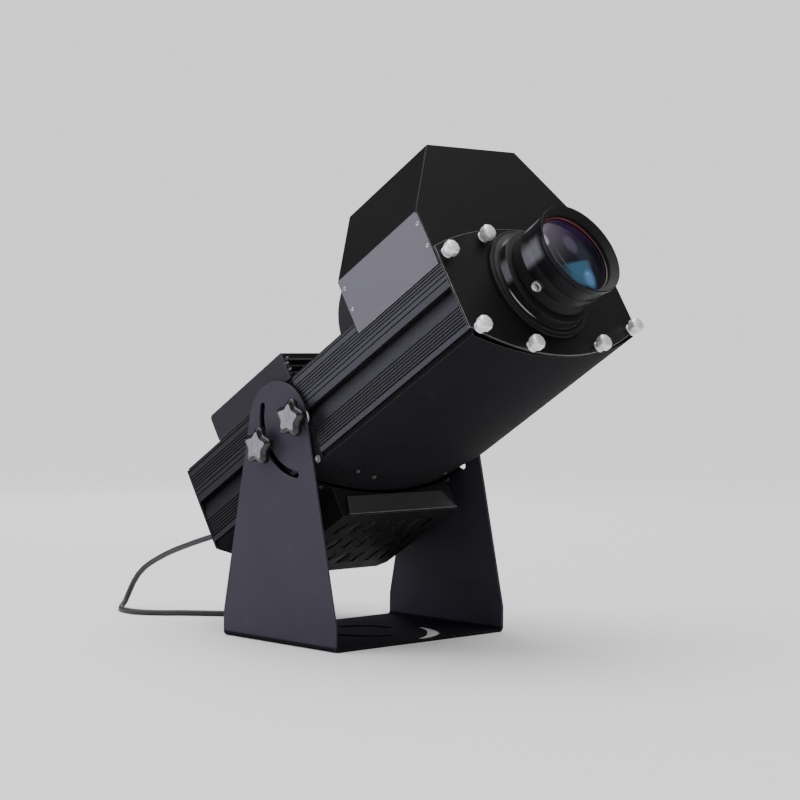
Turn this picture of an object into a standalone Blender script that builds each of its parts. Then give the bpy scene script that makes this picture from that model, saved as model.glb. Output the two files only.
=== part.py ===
"""Water wave effect light: a ribbed projector head that tilts in a bent steel yoke.

Metres, +Z up. The origin is the centre of the yoke base's underside. The beam leaves towards -Y.
The head is modelled level, in its own frame on the pivot: X across, -Y along the beam, Z up from
the beam. Lengths along the beam are counted forwards from the pivot.
"""

import math

import bmesh
import bpy
from mathutils import Matrix, Vector

GAP = 0.0003
SHARP_ANGLE = 30.0

# Yoke: one bent steel sheet
YOKE_WIDTH = 0.280
YOKE_DEPTH = 0.195
YOKE_SHEET = 0.003
YOKE_BEND = 0.006
ARM_STRAIGHT = 0.030
ARM_TOP_RADIUS = 0.049
ARM_TOP_OFFSET = 0.005
ARM_TOP_HEIGHT = 0.256
PIVOT_LEAD = 0.038
PIVOT_RISE = 0.008
OUTER_SLOT_RADIUS = 0.083
INNER_SLOT_RADIUS = 0.044
BASE_SLOT_WIDTH = 0.016
BASE_SLOT_HALF_ANGLE = 38.0

# Tilt: the photographed pose and the travel that the curved slots allow
TILT = 32.0
TILT_DOWN = 42.0
TILT_UP = 54.0
CLAMP_OFFSET = 0.0655
STUD_RADIUS = 0.004
STUD_PLAY = 0.0004
THREAD_DEPTH = 0.0115
WASHER_RADIUS = 0.010
SIDE_ROOM = 0.003

# Star knobs
KNOB_RADIUS = 0.0195
KNOB_LOBE = 0.003
KNOB_LOBES = 5
KNOB_HEAD = 0.012
KNOB_HUB_RADIUS = 0.011
KNOB_HUB = 0.007

# Extruded sides
EXTRUSION_TOP = 0.0487
EXTRUSION_BOTTOM = -0.049
EXTRUSION_WALL = 0.012
EDGE_CHAMFER = 0.001
EDGE_GROOVE_HEIGHT = 0.0465
UPPER_RIB_TOP = 0.038
LOWER_RIB_TOP = -0.0208
RIB_PITCH = 0.0034
UPPER_RIBS = 5
LOWER_RIBS = 7
RIB_GROOVE = 0.0014
RIB_DEPTH = 0.0016
RIB_INSET = 0.001
WIDE_RIB_HEIGHTS = (0.0195, 0.0135)
CHANNEL_TOP = 0.0048
CHANNEL_BOTTOM = -0.019
CHANNEL_DEPTH = 0.008
CHANNEL_STEPS = 6

# Sections of the head, along the beam
FRONT_START = 0.006
FRONT_END = 0.277
REAR_START = -0.038
REAR_END = -0.214
END_PLATE = 0.0025

# Sheet covers
SHEET = 0.0015
SHELL_INSET = 0.003
SHELL_FLANGE = 0.008
SHELL_LIP = -0.0555
SHELL_LIP_DEPTH = 0.0015
SHELL_SAG = 0.0275
ARC_STEPS = 14
FRAME_RECESS = 0.004
BEAM_WINDOW = 0.027
SHELL_VENT_RADIUS = 0.026

# Front hood and the cover behind it
HOOD_START = 0.130
HOOD_FOLD = 0.1036
HOOD_TOP = 0.193
HOOD_SLOPE_WIDTH = 0.0615
HOOD_FLANGE = 0.002
SIDE_PLATE_BOTTOM = 0.0344
SIDE_PLATE_TOP = 0.1018
SIDE_PLATE_CORNER = 0.003
BACK_COVER_RADIUS = 0.063
BACK_COVER_LEAD = 0.020
BACK_COVER_DROP = 0.003
BACK_COVER_INSET = 0.016

# Rear hood
REAR_HOOD_START = 0.0045
REAR_HOOD_END = -0.1445
REAR_HOOD_TOP = 0.0842
REAR_HOOD_CORNER = 0.005
LOUVRE_RISE = 0.0035
LOUVRE_PITCH = 0.0088
LOUVRES = 3

# Front plate, gasket and thumb nuts
PLATE_OVERHANG = 0.0045
PLATE_SIDE_TOP = 0.0525
PLATE_SIDE_BOTTOM = -0.0495
PLATE_TOP = 0.0795
PLATE_BOTTOM = -0.0855
PLATE_THICK = 0.003
GASKET_THICK = 0.0014
GASKET_INSET = 0.003
GASKET_WIDTH = 0.008
NUT_MIDDLE = -0.0045
NUT_EDGE = 0.0123
OUTER_NUT_RISE = 0.0474
INNER_NUT_SIDE = 0.056
INNER_NUT_RISE = 0.0705
NUT_RADIUS = 0.0092
NUT_HEIGHT = 0.0115
NUT_CHAMFER = 0.0022
NUT_NECK = 0.004
NUT_NECK_RADIUS = 0.0055
NUT_SHANK_RADIUS = 0.0025
NUT_SIDES = 8

# Lens
LENS_HEIGHT = 0.0055
FLANGE_RADIUS = 0.070
FLANGE_DEPTH = 0.004
COLLAR_RADIUS = 0.0618
COLLAR_FRONT_RADIUS = 0.0602
COLLAR_LENGTH = 0.019
GROOVE_LENGTH = 0.003
SLEEVE_LENGTH = 0.0295
SLEEVE_RADIUS = 0.0555
NECK_WALL = 0.0032
BARREL_RADIUS = 0.042
BARREL_WALL = 0.004
BARREL_TAIL = 0.016
BELL_LENGTH = 0.0232
BELL_RIM_RADIUS = 0.0562
BELL_SEAT = 0.006
LENS_BORE = 0.0488
GLASS_EDGE = 0.0065
GLASS_SAG = 0.0045
TRIM_WIDTH = 0.0024
TRIM_DEPTH = 0.0022
SCREW_ANGLE = 27.0
SCREW_LEAD = 0.015
SCREW_RADIUS = 0.006
SCREW_HEAD = 0.004
SCREW_SHANK_RADIUS = 0.002
RING_STEPS = 32

# Bottom housing
HOUSING_HALF = 0.095
HOUSING_START = -0.0365
HOUSING_END = -0.190
HOUSING_BOTTOM = -0.111
HOUSING_CHAMFER = 0.010
PANEL_TOP_HALF = 0.078
PANEL_BOTTOM_HALF = 0.088
PANEL_TOP = -0.0865
PANEL_LEAN = 8.0
VENT_LENGTH = 0.026
VENT_WIDTH = 0.006
VENT_PITCH = 0.024
VENT_COLUMNS = 7
VENT_ROW_PITCH = 0.042
VENT_ROWS = 3

# Light source
HEAT_SINK_FRONT = -0.060
HEAT_SINK_BACK = -0.150
HEAT_SINK_BASE = 0.008
HEAT_SINK_BOTTOM = -0.040
HEAT_SINK_TOP = 0.018
FINS = 13
FIN_THICK = 0.003
LED_BOARD = 0.028
LED_BOARD_THICK = 0.002
LED_RADIUS = 0.010
LED_RISE = 0.003
FAN_SIZE = 0.092
FAN_DEPTH = 0.025
FAN_CENTRE = -0.095
FAN_BORE = 0.043
FAN_WEB = 0.003
FAN_HUB_RADIUS = 0.017
FAN_BLADES = 7
FAN_VENTS = 6
FAN_VENT_RADIUS = 0.012
BLADE_THICK = 0.002
BLADE_TIP_ROOM = 0.0015
CONDENSER_RADIUS = 0.040
CONDENSER_WALL = 0.0045
CONDENSER_LENGTH = 0.050
CONDENSER_GLASS = 0.012

# Wave wheels
WHEEL_HEIGHT = 0.078
WHEEL_RADIUS = 0.100
WHEEL_GLASS = 0.0025
WHEEL_MIDDLE = 0.185
WHEEL_SPACING = 0.016
HUB_RADIUS = 0.012
HUB_LENGTH = 0.0145
SHAFT_RADIUS = 0.003
SHAFT_IN_MOTOR = 0.005
BRACKET_THICK = 0.002
BRACKET_ROOM = 0.0075
BRACKET_TOWER_HALF = 0.060
BRACKET_TOWER_TOP = 0.115
MOTOR_RADIUS = 0.014
MOTOR_LENGTH = 0.022

# Driver box
DRIVER_HALF = 0.070
DRIVER_LENGTH = 0.120
DRIVER_HEIGHT = 0.020

# Cord, coil and plug
CORD_RADIUS = 0.0035
GLAND_SIDE = -0.055
GLAND_HEIGHT = -0.020
GLAND_FLANGE_RADIUS = 0.013
GLAND_FLANGE = 0.005
GLAND_DOME_RADIUS = 0.010
GLAND_DOME = 0.018
GLAND_TAIL_RADIUS = 0.008
CORD_SPACING = 0.0175
COIL_X = 0.018
COIL_Y = 0.172
COIL_RADIUS = 0.050
COIL_PITCH = 0.0087
COIL_LIFT = 0.0078
COIL_TURNS_IN = 1.5
COIL_START_ANGLE = 150.0
LOOP_POINTS = 24
PLUG_RADIUS = 0.0175
PLUG_LENGTH = 0.046
PLUG_NECK_RADIUS = 0.0062
PLUG_NECK = 0.016
PIN_RADIUS = 0.0024
PIN_LENGTH = 0.019
PIN_SPREAD = 0.0095

# Values that follow from the driving sizes
ARM_INNER = YOKE_WIDTH / 2 - YOKE_SHEET
BODY_HALF = ARM_INNER - SIDE_ROOM
INNER_HALF = BODY_HALF - EXTRUSION_WALL - GAP
PIVOT_FORWARD = PIVOT_LEAD - ARM_TOP_OFFSET
PIVOT_HEIGHT = ARM_TOP_HEIGHT + PIVOT_RISE
HOOD_TOP_HALF = BODY_HALF - HOOD_SLOPE_WIDTH
PLATE_HALF = BODY_HALF + PLATE_OVERHANG
COVER_BOTTOM = EXTRUSION_TOP + GAP + SHEET + GAP
LID_BOTTOM = EXTRUSION_TOP + GAP
PLATE_BACK = FRONT_END + GAP + GASKET_THICK + GAP
PLATE_FRONT = PLATE_BACK + PLATE_THICK
STUD_HOLE = STUD_RADIUS + STUD_PLAY
STRAIGHT_END = 2 * CORD_RADIUS
NECK_RADIUS = BARREL_RADIUS + GAP + NECK_WALL
BARREL_START = PLATE_FRONT - BARREL_TAIL
COLLAR_END = PLATE_FRONT + COLLAR_LENGTH
GROOVE_END = COLLAR_END + GROOVE_LENGTH
SLEEVE_END = GROOVE_END + SLEEVE_LENGTH
BELL_BACK = SLEEVE_END + GAP
ACROSS = (0.0, math.radians(90), 0.0)
FACE = (math.radians(90), 0.0, 0.0)
SIDE = (math.radians(90), 0.0, math.radians(-90))
FLAT = (0.0, 0.0, 0.0)

PALETTE = {
    "black_sheet": ((0.012, 0.012, 0.014), 0.45, 0.0),
    "grey_sheet": ((0.20, 0.19, 0.22), 0.45, 0.2),
    "yoke_paint": ((0.055, 0.052, 0.066), 0.5, 0.1),
    "ribbed_black": ((0.018, 0.018, 0.022), 0.4, 0.3),
    "bright_metal": ((0.80, 0.80, 0.82), 0.25, 1.0),
    "dull_metal": ((0.45, 0.45, 0.47), 0.45, 1.0),
    "knob": ((0.30, 0.30, 0.33), 0.5, 0.0),
    "lens_black": ((0.010, 0.010, 0.012), 0.3, 0.3),
    "red": ((0.35, 0.015, 0.03), 0.4, 0.0),
    "glass": ((0.35, 0.35, 0.55), 0.05, 0.0),
    "rubber": ((0.012, 0.012, 0.012), 0.8, 0.0),
    "white_plastic": ((0.75, 0.75, 0.72), 0.5, 0.0),
    "circuit": ((0.02, 0.15, 0.05), 0.6, 0.0),
}


def clear_scene():
    for old in list(bpy.data.objects):
        bpy.data.objects.remove(old, do_unlink=True)


def make_collection(name):
    group = bpy.data.collections.new(name)
    bpy.context.scene.collection.children.link(group)
    return group


def make_material(name):
    colour, roughness, metallic = PALETTE[name]
    finish = bpy.data.materials.new(name)
    finish.use_nodes = True
    shader = finish.node_tree.nodes["Principled BSDF"]
    shader.inputs["Base Color"].default_value = (*colour, 1.0)
    shader.inputs["Roughness"].default_value = roughness
    shader.inputs["Metallic"].default_value = metallic
    finish.diffuse_color = (*colour, 1.0)
    return finish


def place(obj, parent, location=(0, 0, 0), rotation=FLAT):
    obj.parent = parent
    obj.location = location
    obj.rotation_euler = rotation
    return obj


def link_piece(name, data, finish):
    obj = bpy.data.objects.new(name, data)
    PARTS.objects.link(obj)
    data.materials.append(bpy.data.materials.get(finish) or make_material(finish))
    return obj


# Outlines


def arc(centre, radius, start, end, steps):
    points = []
    for step in range(steps + 1):
        angle = math.radians(start + (end - start) * step / steps)
        points.append((centre[0] + radius * math.cos(angle), centre[1] + radius * math.sin(angle)))
    return points


def circle(centre, radius, steps=24):
    return arc(centre, radius, 0, 360, steps)[:-1]


def rectangle(left, right, bottom, top):
    return [(left, bottom), (right, bottom), (right, top), (left, top)]


def arc_slot(centre, radius, width, start, end, steps=12):
    half = width / 2
    first = arc(centre, radius, start, end, 1)
    outer = arc(centre, radius + half, start, end, steps)
    far_end = arc(first[1], half, end, end + 180, 6)
    inner = arc(centre, radius - half, end, start, steps)
    near_end = arc(first[0], half, start + 180, start + 360, 6)
    return outer + far_end[1:-1] + inner + near_end[1:-1]


def sagged_edge(half_width, side_height, middle_height, steps=ARC_STEPS):
    """Points of a shallow arc from +half_width to -half_width through the middle height."""
    sag = middle_height - side_height
    radius = (half_width**2 + sag**2) / (2 * abs(sag))
    centre = middle_height - math.copysign(radius, sag)
    points = []
    for step in range(steps + 1):
        x = half_width - 2 * half_width * step / steps
        rise = math.sqrt(max(radius**2 - x**2, 0.0))
        points.append((x, centre + math.copysign(rise, sag)))
    return points


def spread(middle, pitch, count):
    return [middle + pitch * (index - (count - 1) / 2) for index in range(count)]


# Solids


def flat_piece(name, loops, thickness, finish, parent, location, rotation):
    """A flat outline with its holes, as thick as asked, centred on its own plane."""
    data = bpy.data.curves.new(name, "CURVE")
    data.dimensions = "2D"
    data.fill_mode = "BOTH"
    data.extrude = thickness / 2
    for loop in loops:
        spline = data.splines.new("POLY")
        spline.points.add(len(loop) - 1)
        for point, (u, v) in zip(spline.points, loop):
            point.co = (u, v, 0.0, 1.0)
        spline.use_cyclic_u = True
    return place(link_piece(name, data, finish), parent, location, rotation)


def face_plate(name, loops, back, front, finish, parent):
    """A flat piece square to the beam, between two lengths along it."""
    middle = (0.0, -(back + front) / 2, 0.0)
    return flat_piece(name, loops, front - back, finish, parent, middle, FACE)


def side_plate(name, loops, inner, outer, side, finish, parent):
    """A flat piece square to X, drawn with u along the beam and v upwards."""
    middle = (side * (inner + outer) / 2, 0.0, 0.0)
    return flat_piece(name, loops, outer - inner, finish, parent, middle, SIDE)


def block(name, across, along, upright, finish, parent):
    """A box given by its spans across X, along the beam and along Z."""
    centre = Vector((sum(across) / 2, -sum(along) / 2, sum(upright) / 2))
    size = (across[1] - across[0], along[1] - along[0], upright[1] - upright[0])
    mesh = bpy.data.meshes.new(name)
    shape = bmesh.new()
    bmesh.ops.create_cube(shape, size=1.0, matrix=Matrix.Diagonal((*size, 1.0)))
    shape.to_mesh(mesh)
    shape.free()
    return place(link_piece(name, mesh, finish), parent, centre)


def turned(name, profile, finish, parent, location, rotation, steps=RING_STEPS, closed=False):
    """A profile of (radius, height) points turned round its own Z, listed down the outer side."""
    mesh = bpy.data.meshes.new(name)
    edges = [(index, index + 1) for index in range(len(profile) - 1)]
    if closed:
        edges.append((len(profile) - 1, 0))
    mesh.from_pydata([(radius, 0.0, height) for radius, height in profile], edges, [])
    obj = place(link_piece(name, mesh, finish), parent, location, rotation)
    screw = obj.modifiers.new("Turn", "SCREW")
    screw.steps = steps
    screw.render_steps = steps
    screw.use_merge_vertices = True
    screw.merge_threshold = 0.00001
    screw.use_smooth_shade = True
    return obj


def beam_turned(name, profile, finish, parent, height=LENS_HEIGHT, steps=RING_STEPS, closed=False):
    """A turned piece on an axis along the beam; profile heights are lengths along the beam."""
    return turned(name, profile, finish, parent, (0, 0, height), FACE, steps, closed)


def solidify(obj, thickness, offset):
    skin = obj.modifiers.new("Sheet", "SOLIDIFY")
    skin.thickness = thickness
    skin.offset = offset
    skin.use_even_offset = True
    return obj


def beam_sheet(name, points, start, end, finish, parent):
    """A sheet bent to an open outline of (x, z) points, drawn along the beam."""
    mesh = bpy.data.meshes.new(name)
    shape = bmesh.new()
    corners = [shape.verts.new((x, -start, z)) for x, z in points]
    edges = [shape.edges.new(pair) for pair in zip(corners, corners[1:])]
    drawn = bmesh.ops.extrude_edge_only(shape, edges=edges)
    moved = [item for item in drawn["geom"] if isinstance(item, bmesh.types.BMVert)]
    bmesh.ops.translate(shape, verts=moved, vec=(0, start - end, 0))
    shape.to_mesh(mesh)
    shape.free()
    return solidify(place(link_piece(name, mesh, finish), parent), SHEET, 0.0)


def open_cover(name, corners, sweep, open_edges, finish, parent):
    """A sheet box swept from a closed outline, without the walls on the outline's open edges."""
    mesh = bpy.data.meshes.new(name)
    shape = bmesh.new()
    ring = [shape.verts.new(corner) for corner in corners]
    base = shape.faces.new(ring)
    drawn = bmesh.ops.extrude_face_region(shape, geom=[base], use_keep_orig=True)
    moved = [item for item in drawn["geom"] if isinstance(item, bmesh.types.BMVert)]
    bmesh.ops.translate(shape, verts=moved, vec=sweep)
    bmesh.ops.recalc_face_normals(shape, faces=shape.faces)
    lost = []
    for index in open_edges:
        pair = {ring[index], ring[(index + 1) % len(ring)]}
        lost += [face for face in shape.faces if pair <= set(face.verts) and face is not base]
    bmesh.ops.delete(shape, geom=lost, context="FACES")
    shape.to_mesh(mesh)
    shape.free()
    return solidify(place(link_piece(name, mesh, finish), parent), SHEET, -1.0)


def as_mesh(obj):
    """The same piece as a plain mesh with welded caps, so that it can be cut or joined."""
    bpy.context.view_layer.update()
    graph = bpy.context.evaluated_depsgraph_get()
    name = obj.name
    mesh = bpy.data.meshes.new_from_object(obj.evaluated_get(graph))
    shape = bmesh.new()
    shape.from_mesh(mesh)
    bmesh.ops.remove_doubles(shape, verts=shape.verts, dist=0.00001)
    bmesh.ops.recalc_face_normals(shape, faces=shape.faces)
    shape.to_mesh(mesh)
    shape.free()
    mesh.shade_smooth()
    mesh.set_sharp_from_angle(angle=math.radians(SHARP_ANGLE))
    parent, matrix = obj.parent, obj.matrix_world.copy()
    bpy.data.objects.remove(obj, do_unlink=True)
    solid = bpy.data.objects.new(name, mesh)
    PARTS.objects.link(solid)
    solid.parent = parent
    if parent:
        solid.matrix_parent_inverse = parent.matrix_world.inverted()
    solid.matrix_world = matrix
    return solid


def combine(target, other, operation):
    """Cut, join or intersect a mesh piece with another, which becomes a hidden helper."""
    PARTS.objects.unlink(other)
    CUTTERS.objects.link(other)
    other.hide_render = True
    other.display_type = "WIRE"
    boolean = target.modifiers.new(operation.title(), "BOOLEAN")
    boolean.operation = operation
    boolean.solver = "EXACT"
    boolean.object = other
    return target


def cut(target, cutter):
    return combine(target, as_mesh(cutter), "DIFFERENCE")


def fuse(target, other):
    return combine(target, as_mesh(other), "UNION")


def pin(name, centre, radius, length, rotation, parent, steps=24):
    """A plain round rod centred on a point, along its own Z."""
    half = length / 2
    profile = [(0, half), (radius, half), (radius, -half), (0, -half)]
    return turned(name, profile, "dull_metal", parent, centre, rotation, steps)


# Yoke


def yoke_section():
    """The U of the bent sheet, seen along the beam."""
    half, top = YOKE_WIDTH / 2, ARM_TOP_HEIGHT + ARM_TOP_RADIUS
    inner_bend = YOKE_BEND - YOKE_SHEET
    right_bend, left_bend = (half - YOKE_BEND, YOKE_BEND), (YOKE_BEND - half, YOKE_BEND)
    outer = [(-half, top)] + arc(left_bend, YOKE_BEND, 180, 270, 5)
    outer += arc(right_bend, YOKE_BEND, 270, 360, 5) + [(half, top)]
    inner = [(half - YOKE_SHEET, top)] + arc(right_bend, inner_bend, 360, 270, 5)
    inner += arc(left_bend, inner_bend, 270, 180, 5) + [(YOKE_SHEET - half, top)]
    return outer + inner


def tangent_angle(corner, centre, radius, side):
    """The angle on a circle at which a line from an outside corner touches it."""
    reach = math.hypot(corner[0] - centre[0], corner[1] - centre[1])
    bearing = math.atan2(corner[1] - centre[1], corner[0] - centre[0])
    return math.degrees(bearing + side * math.acos(radius / reach))


def arm_outline():
    """Side view of an arm: straight foot, tapered edges and a round top, u towards the front."""
    half, centre = YOKE_DEPTH / 2, (-ARM_TOP_OFFSET, ARM_TOP_HEIGHT)
    front = tangent_angle((half, ARM_STRAIGHT), centre, ARM_TOP_RADIUS, 1)
    rear = tangent_angle((-half, ARM_STRAIGHT), centre, ARM_TOP_RADIUS, -1)
    foot = [(-half, ARM_STRAIGHT), (-half, -GAP), (half, -GAP), (half, ARM_STRAIGHT)]
    return foot + arc(centre, ARM_TOP_RADIUS, front, rear % 360, 18)


def make_yoke(stand):
    depth = YOKE_DEPTH / 2
    yoke = as_mesh(face_plate("yoke_bracket", [yoke_section()], -depth, depth, "yoke_paint", stand))
    half = YOKE_WIDTH / 2 + SIDE_ROOM
    shape = side_plate("arm_shape", [arm_outline()], -half, half, 1, "dull_metal", stand)
    combine(yoke, as_mesh(shape), "INTERSECT")
    pivot = (PIVOT_FORWARD, PIVOT_HEIGHT)
    holes = [circle(pivot, STUD_HOLE), tilt_slot(pivot)]
    for index, loop in enumerate(holes):
        cut(yoke, side_plate(f"arm_hole_{index}", [loop], -half, half, 1, "dull_metal", stand))
    for quarter in range(4):
        radius = OUTER_SLOT_RADIUS if quarter % 2 else INNER_SLOT_RADIUS
        start = 45 + 90 * quarter - BASE_SLOT_HALF_ANGLE
        loop = arc_slot((0, 0), radius, BASE_SLOT_WIDTH, start, start + 2 * BASE_SLOT_HALF_ANGLE)
        name = f"base_slot_{quarter}"
        cut(yoke, flat_piece(name, [loop], 4 * YOKE_SHEET, "dull_metal", stand, (0, 0, 0), FLAT))
    return yoke


def tilt_slot(pivot):
    width = 2 * (STUD_RADIUS + STUD_PLAY)
    return arc_slot(pivot, CLAMP_OFFSET, width, 180 + TILT - TILT_DOWN, 180 + TILT + TILT_UP, 24)


# Knobs and washers


def star_outline():
    points = []
    for step in range(8 * KNOB_LOBES):
        angle = 2 * math.pi * step / (8 * KNOB_LOBES)
        radius = KNOB_RADIUS + KNOB_LOBE * math.cos(KNOB_LOBES * angle)
        points.append((radius * math.cos(angle), radius * math.sin(angle)))
    return points


def star_knob(name, along, side, head):
    """A lobed head on a hub with its stud, whose axis runs outwards from the arm."""
    seat = YOKE_WIDTH / 2 + GAP
    place_at = (side * seat, -along, 0)
    outwards = (0, math.radians(90 * side), 0)
    stud = THREAD_DEPTH + SIDE_ROOM + YOKE_SHEET - GAP
    head_middle = KNOB_HUB + KNOB_HEAD / 2
    profile = [(0, head_middle), (KNOB_HUB_RADIUS, head_middle), (KNOB_HUB_RADIUS, 0)]
    profile += [(STUD_RADIUS, 0), (STUD_RADIUS, -stud), (0, -stud)]
    knob = as_mesh(turned(name, profile, "knob", head, place_at, outwards, 20))
    middle = (side * (seat + head_middle), -along, 0)
    star = flat_piece(f"{name}_star", [star_outline()], KNOB_HEAD, "knob", head, middle, outwards)
    return fuse(knob, star)


def make_knobs(head):
    for side, label in ((-1, "left"), (1, "right")):
        star_knob(f"pivot_knob_{label}", 0.0, side, head)
        star_knob(f"clamp_knob_{label}", -CLAMP_OFFSET, side, head)
        washer_at = (side * (BODY_HALF + SIDE_ROOM / 2), 0, 0)
        half = SIDE_ROOM / 2 - GAP
        ring = [(STUD_HOLE, half), (WASHER_RADIUS, half), (WASHER_RADIUS, -half), (STUD_HOLE, -half)]
        turned(f"pivot_washer_{label}", ring, "white_plastic", head, washer_at, ACROSS, 24, True)


# Extruded sides and the frame between the sections


def groove(height, inset, depth=RIB_DEPTH, width=RIB_GROOVE):
    wall = 0.3 * width
    points = [(inset, height + width / 2), (inset + depth, height + wall)]
    return points + [(inset + depth, height - wall), (inset, height - width / 2)]


def channel():
    """The recessed channel below the flat band: deep under the band, then sweeping out again."""
    points = [(0.0, CHANNEL_TOP)]
    for step in range(CHANNEL_STEPS + 1):
        share = step / CHANNEL_STEPS
        inset = RIB_INSET + (CHANNEL_DEPTH - RIB_INSET) * (1 - share) ** 2
        points.append((inset, CHANNEL_TOP + (CHANNEL_BOTTOM - CHANNEL_TOP) * share))
    return points


def extrusion_section():
    """Half section of a side, as (inset from the outer face, height) points, top to bottom."""
    points = [(EDGE_CHAMFER, EXTRUSION_TOP), (0.0, EXTRUSION_TOP - EDGE_CHAMFER)]
    points += groove(EDGE_GROOVE_HEIGHT - EDGE_CHAMFER, 0.0)
    for index in range(UPPER_RIBS):
        points += groove(UPPER_RIB_TOP - RIB_PITCH * index, 0.0)
    for height in WIDE_RIB_HEIGHTS:
        points += groove(height, 0.0)
    points += channel()
    for index in range(LOWER_RIBS):
        points += groove(LOWER_RIB_TOP - RIB_PITCH * index, RIB_INSET)
    band = LOWER_RIB_TOP - RIB_PITCH * (LOWER_RIBS - 0.5)
    points += [(0.0, band), (0.0, EXTRUSION_BOTTOM)]
    return points + [(EXTRUSION_WALL, EXTRUSION_BOTTOM), (EXTRUSION_WALL, EXTRUSION_TOP)]


def make_extrusions(head):
    for side, label in ((-1, "left"), (1, "right")):
        loop = [(side * (BODY_HALF - inset), height) for inset, height in extrusion_section()]
        name = f"front_extrusion_{label}"
        face_plate(name, [loop], FRONT_START, FRONT_END, "ribbed_black", head)
        name = f"rear_extrusion_{label}"
        rear = as_mesh(face_plate(name, [loop], REAR_END, REAR_START, "ribbed_black", head))
        across = (side * BODY_HALF, CLAMP_OFFSET, 0)
        name = f"clamp_hole_{label}"
        cut(rear, pin(name, across, STUD_HOLE, 4 * EXTRUSION_WALL, ACROSS, head))


def shell_edge(inset=0.0, drop=0.0):
    """The bowed underside, from +X to -X, drawn in by an inset and up by a drop."""
    half = BODY_HALF - EDGE_CHAMFER - inset
    side = SHELL_LIP - SHELL_LIP_DEPTH + drop
    return sagged_edge(half, side, side - SHELL_SAG)


def shell_section():
    """Centre line of a bottom shell's sheet: upright edge, lip and bowed bottom."""
    half = BODY_HALF - EDGE_CHAMFER
    edge = half - SHELL_INSET
    top = EXTRUSION_BOTTOM - GAP - SHEET / 2
    upright = [(edge - SHELL_FLANGE, top), (edge, top), (edge, SHELL_LIP)]
    left = [(-x, z) for x, z in reversed(upright)]
    return upright + shell_edge() + left


def make_shells(head):
    section = shell_section()
    beam_sheet("front_bottom_shell", section, FRONT_START, FRONT_END, "black_sheet", head)
    rear = beam_sheet("rear_bottom_shell", section, REAR_END, REAR_START, "black_sheet", head)
    rear = as_mesh(rear)
    middle = (0, -FAN_CENTRE, SHELL_LIP - SHELL_SAG)
    cut(rear, pin("shell_vent", middle, SHELL_VENT_RADIUS, SHELL_SAG, FLAT, head))


def make_mid_frame(head):
    half = BODY_HALF
    loop = [(-half, EXTRUSION_TOP), (half, EXTRUSION_TOP)] + shell_edge(-EDGE_CHAMFER, FRAME_RECESS)
    back, front = REAR_START + GAP, FRONT_START - GAP
    window = circle((0, LENS_HEIGHT), BEAM_WINDOW)
    frame = as_mesh(face_plate("mid_frame", [loop, window], back, front, "ribbed_black", head))
    for side, label in ((-1, "left"), (1, "right")):
        centre = (side * half, 0, 0)
        depth = 2 * (THREAD_DEPTH + GAP)
        cut(frame, pin(f"pivot_thread_{label}", centre, STUD_HOLE, depth, ACROSS, head))


# Covers


def hood_outline(half):
    outline = [(half, COVER_BOTTOM), (half, HOOD_FOLD), (HOOD_TOP_HALF, HOOD_TOP)]
    return outline + [(-x, z) for x, z in reversed(outline)]


def make_front_hood(head):
    """A roof-shaped cover whose front wall stands out past its sides, with a plate on each side."""
    corners = [(x, -FRONT_END, z) for x, z in hood_outline(BODY_HALF)]
    sweep = (0, FRONT_END - HOOD_START, 0)
    hood = as_mesh(open_cover("front_hood", corners, sweep, [5], "black_sheet", head))
    back, front = FRONT_END - SHEET, FRONT_END
    wall = [hood_outline(BODY_HALF + HOOD_FLANGE)]
    fuse(hood, face_plate("hood_front_wall", wall, back, front, "black_sheet", head))
    centre = (0, -front, LENS_HEIGHT)
    cut(hood, pin("hood_notch", centre, NECK_RADIUS + GAP, 4 * SHEET, FACE, head, RING_STEPS))
    end = back - GAP
    corner = SIDE_PLATE_CORNER
    loop = [(HOOD_START, SIDE_PLATE_BOTTOM), (end, SIDE_PLATE_BOTTOM), (end, SIDE_PLATE_TOP - corner)]
    loop += [(end - corner, SIDE_PLATE_TOP), (HOOD_START, SIDE_PLATE_TOP)]
    inner = BODY_HALF + GAP
    for side, label in ((-1, "left"), (1, "right")):
        side_plate(f"hood_side_plate_{label}", [loop], inner, inner + SHEET, side, "grey_sheet", head)


def make_back_cover(head):
    """The rounded cover that leans on the hood's rear wall, open below and towards the hood."""
    bottom, radius = COVER_BOTTOM, BACK_COVER_RADIUS
    room = GAP + SHEET * BACK_COVER_LEAD / radius
    front = HOOD_START - room
    top_angle = math.degrees(math.acos(-(BACK_COVER_LEAD + room) / radius))
    rear_angle = 180 - math.degrees(math.asin(BACK_COVER_DROP / radius))
    centre = (HOOD_START + BACK_COVER_LEAD, bottom - BACK_COVER_DROP)
    outline = [(front, bottom)] + arc(centre, radius, top_angle, rear_angle, 10)
    half = BODY_HALF - BACK_COVER_INSET
    corners = [(half, -along, z) for along, z in outline]
    open_edges = [0, len(corners) - 1]
    open_cover("hood_back_cover", corners, (-2 * half, 0, 0), open_edges, "black_sheet", head)


def make_lids(head):
    level = (LID_BOTTOM, LID_BOTTOM + SHEET)
    half = BODY_HALF - EDGE_CHAMFER
    block("front_top_plate", (-half, half), (FRONT_START, HOOD_START - GAP), level, "black_sheet", head)
    loop = rectangle(-half, half, -REAR_START, -REAR_END)
    centre = (0, 0, sum(level) / 2)
    flat_piece("rear_top_plate", [loop] + fan_vents(), SHEET, "black_sheet", head, centre, FLAT)


def fan_vents():
    """One hole over the fan's hub and a ring of them over its blades."""
    middle = (0, -FAN_CENTRE)
    ring = circle(middle, (FAN_HUB_RADIUS + FAN_BORE) / 2, FAN_VENTS)
    return [circle(centre, FAN_VENT_RADIUS, 16) for centre in [middle] + ring]


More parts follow.
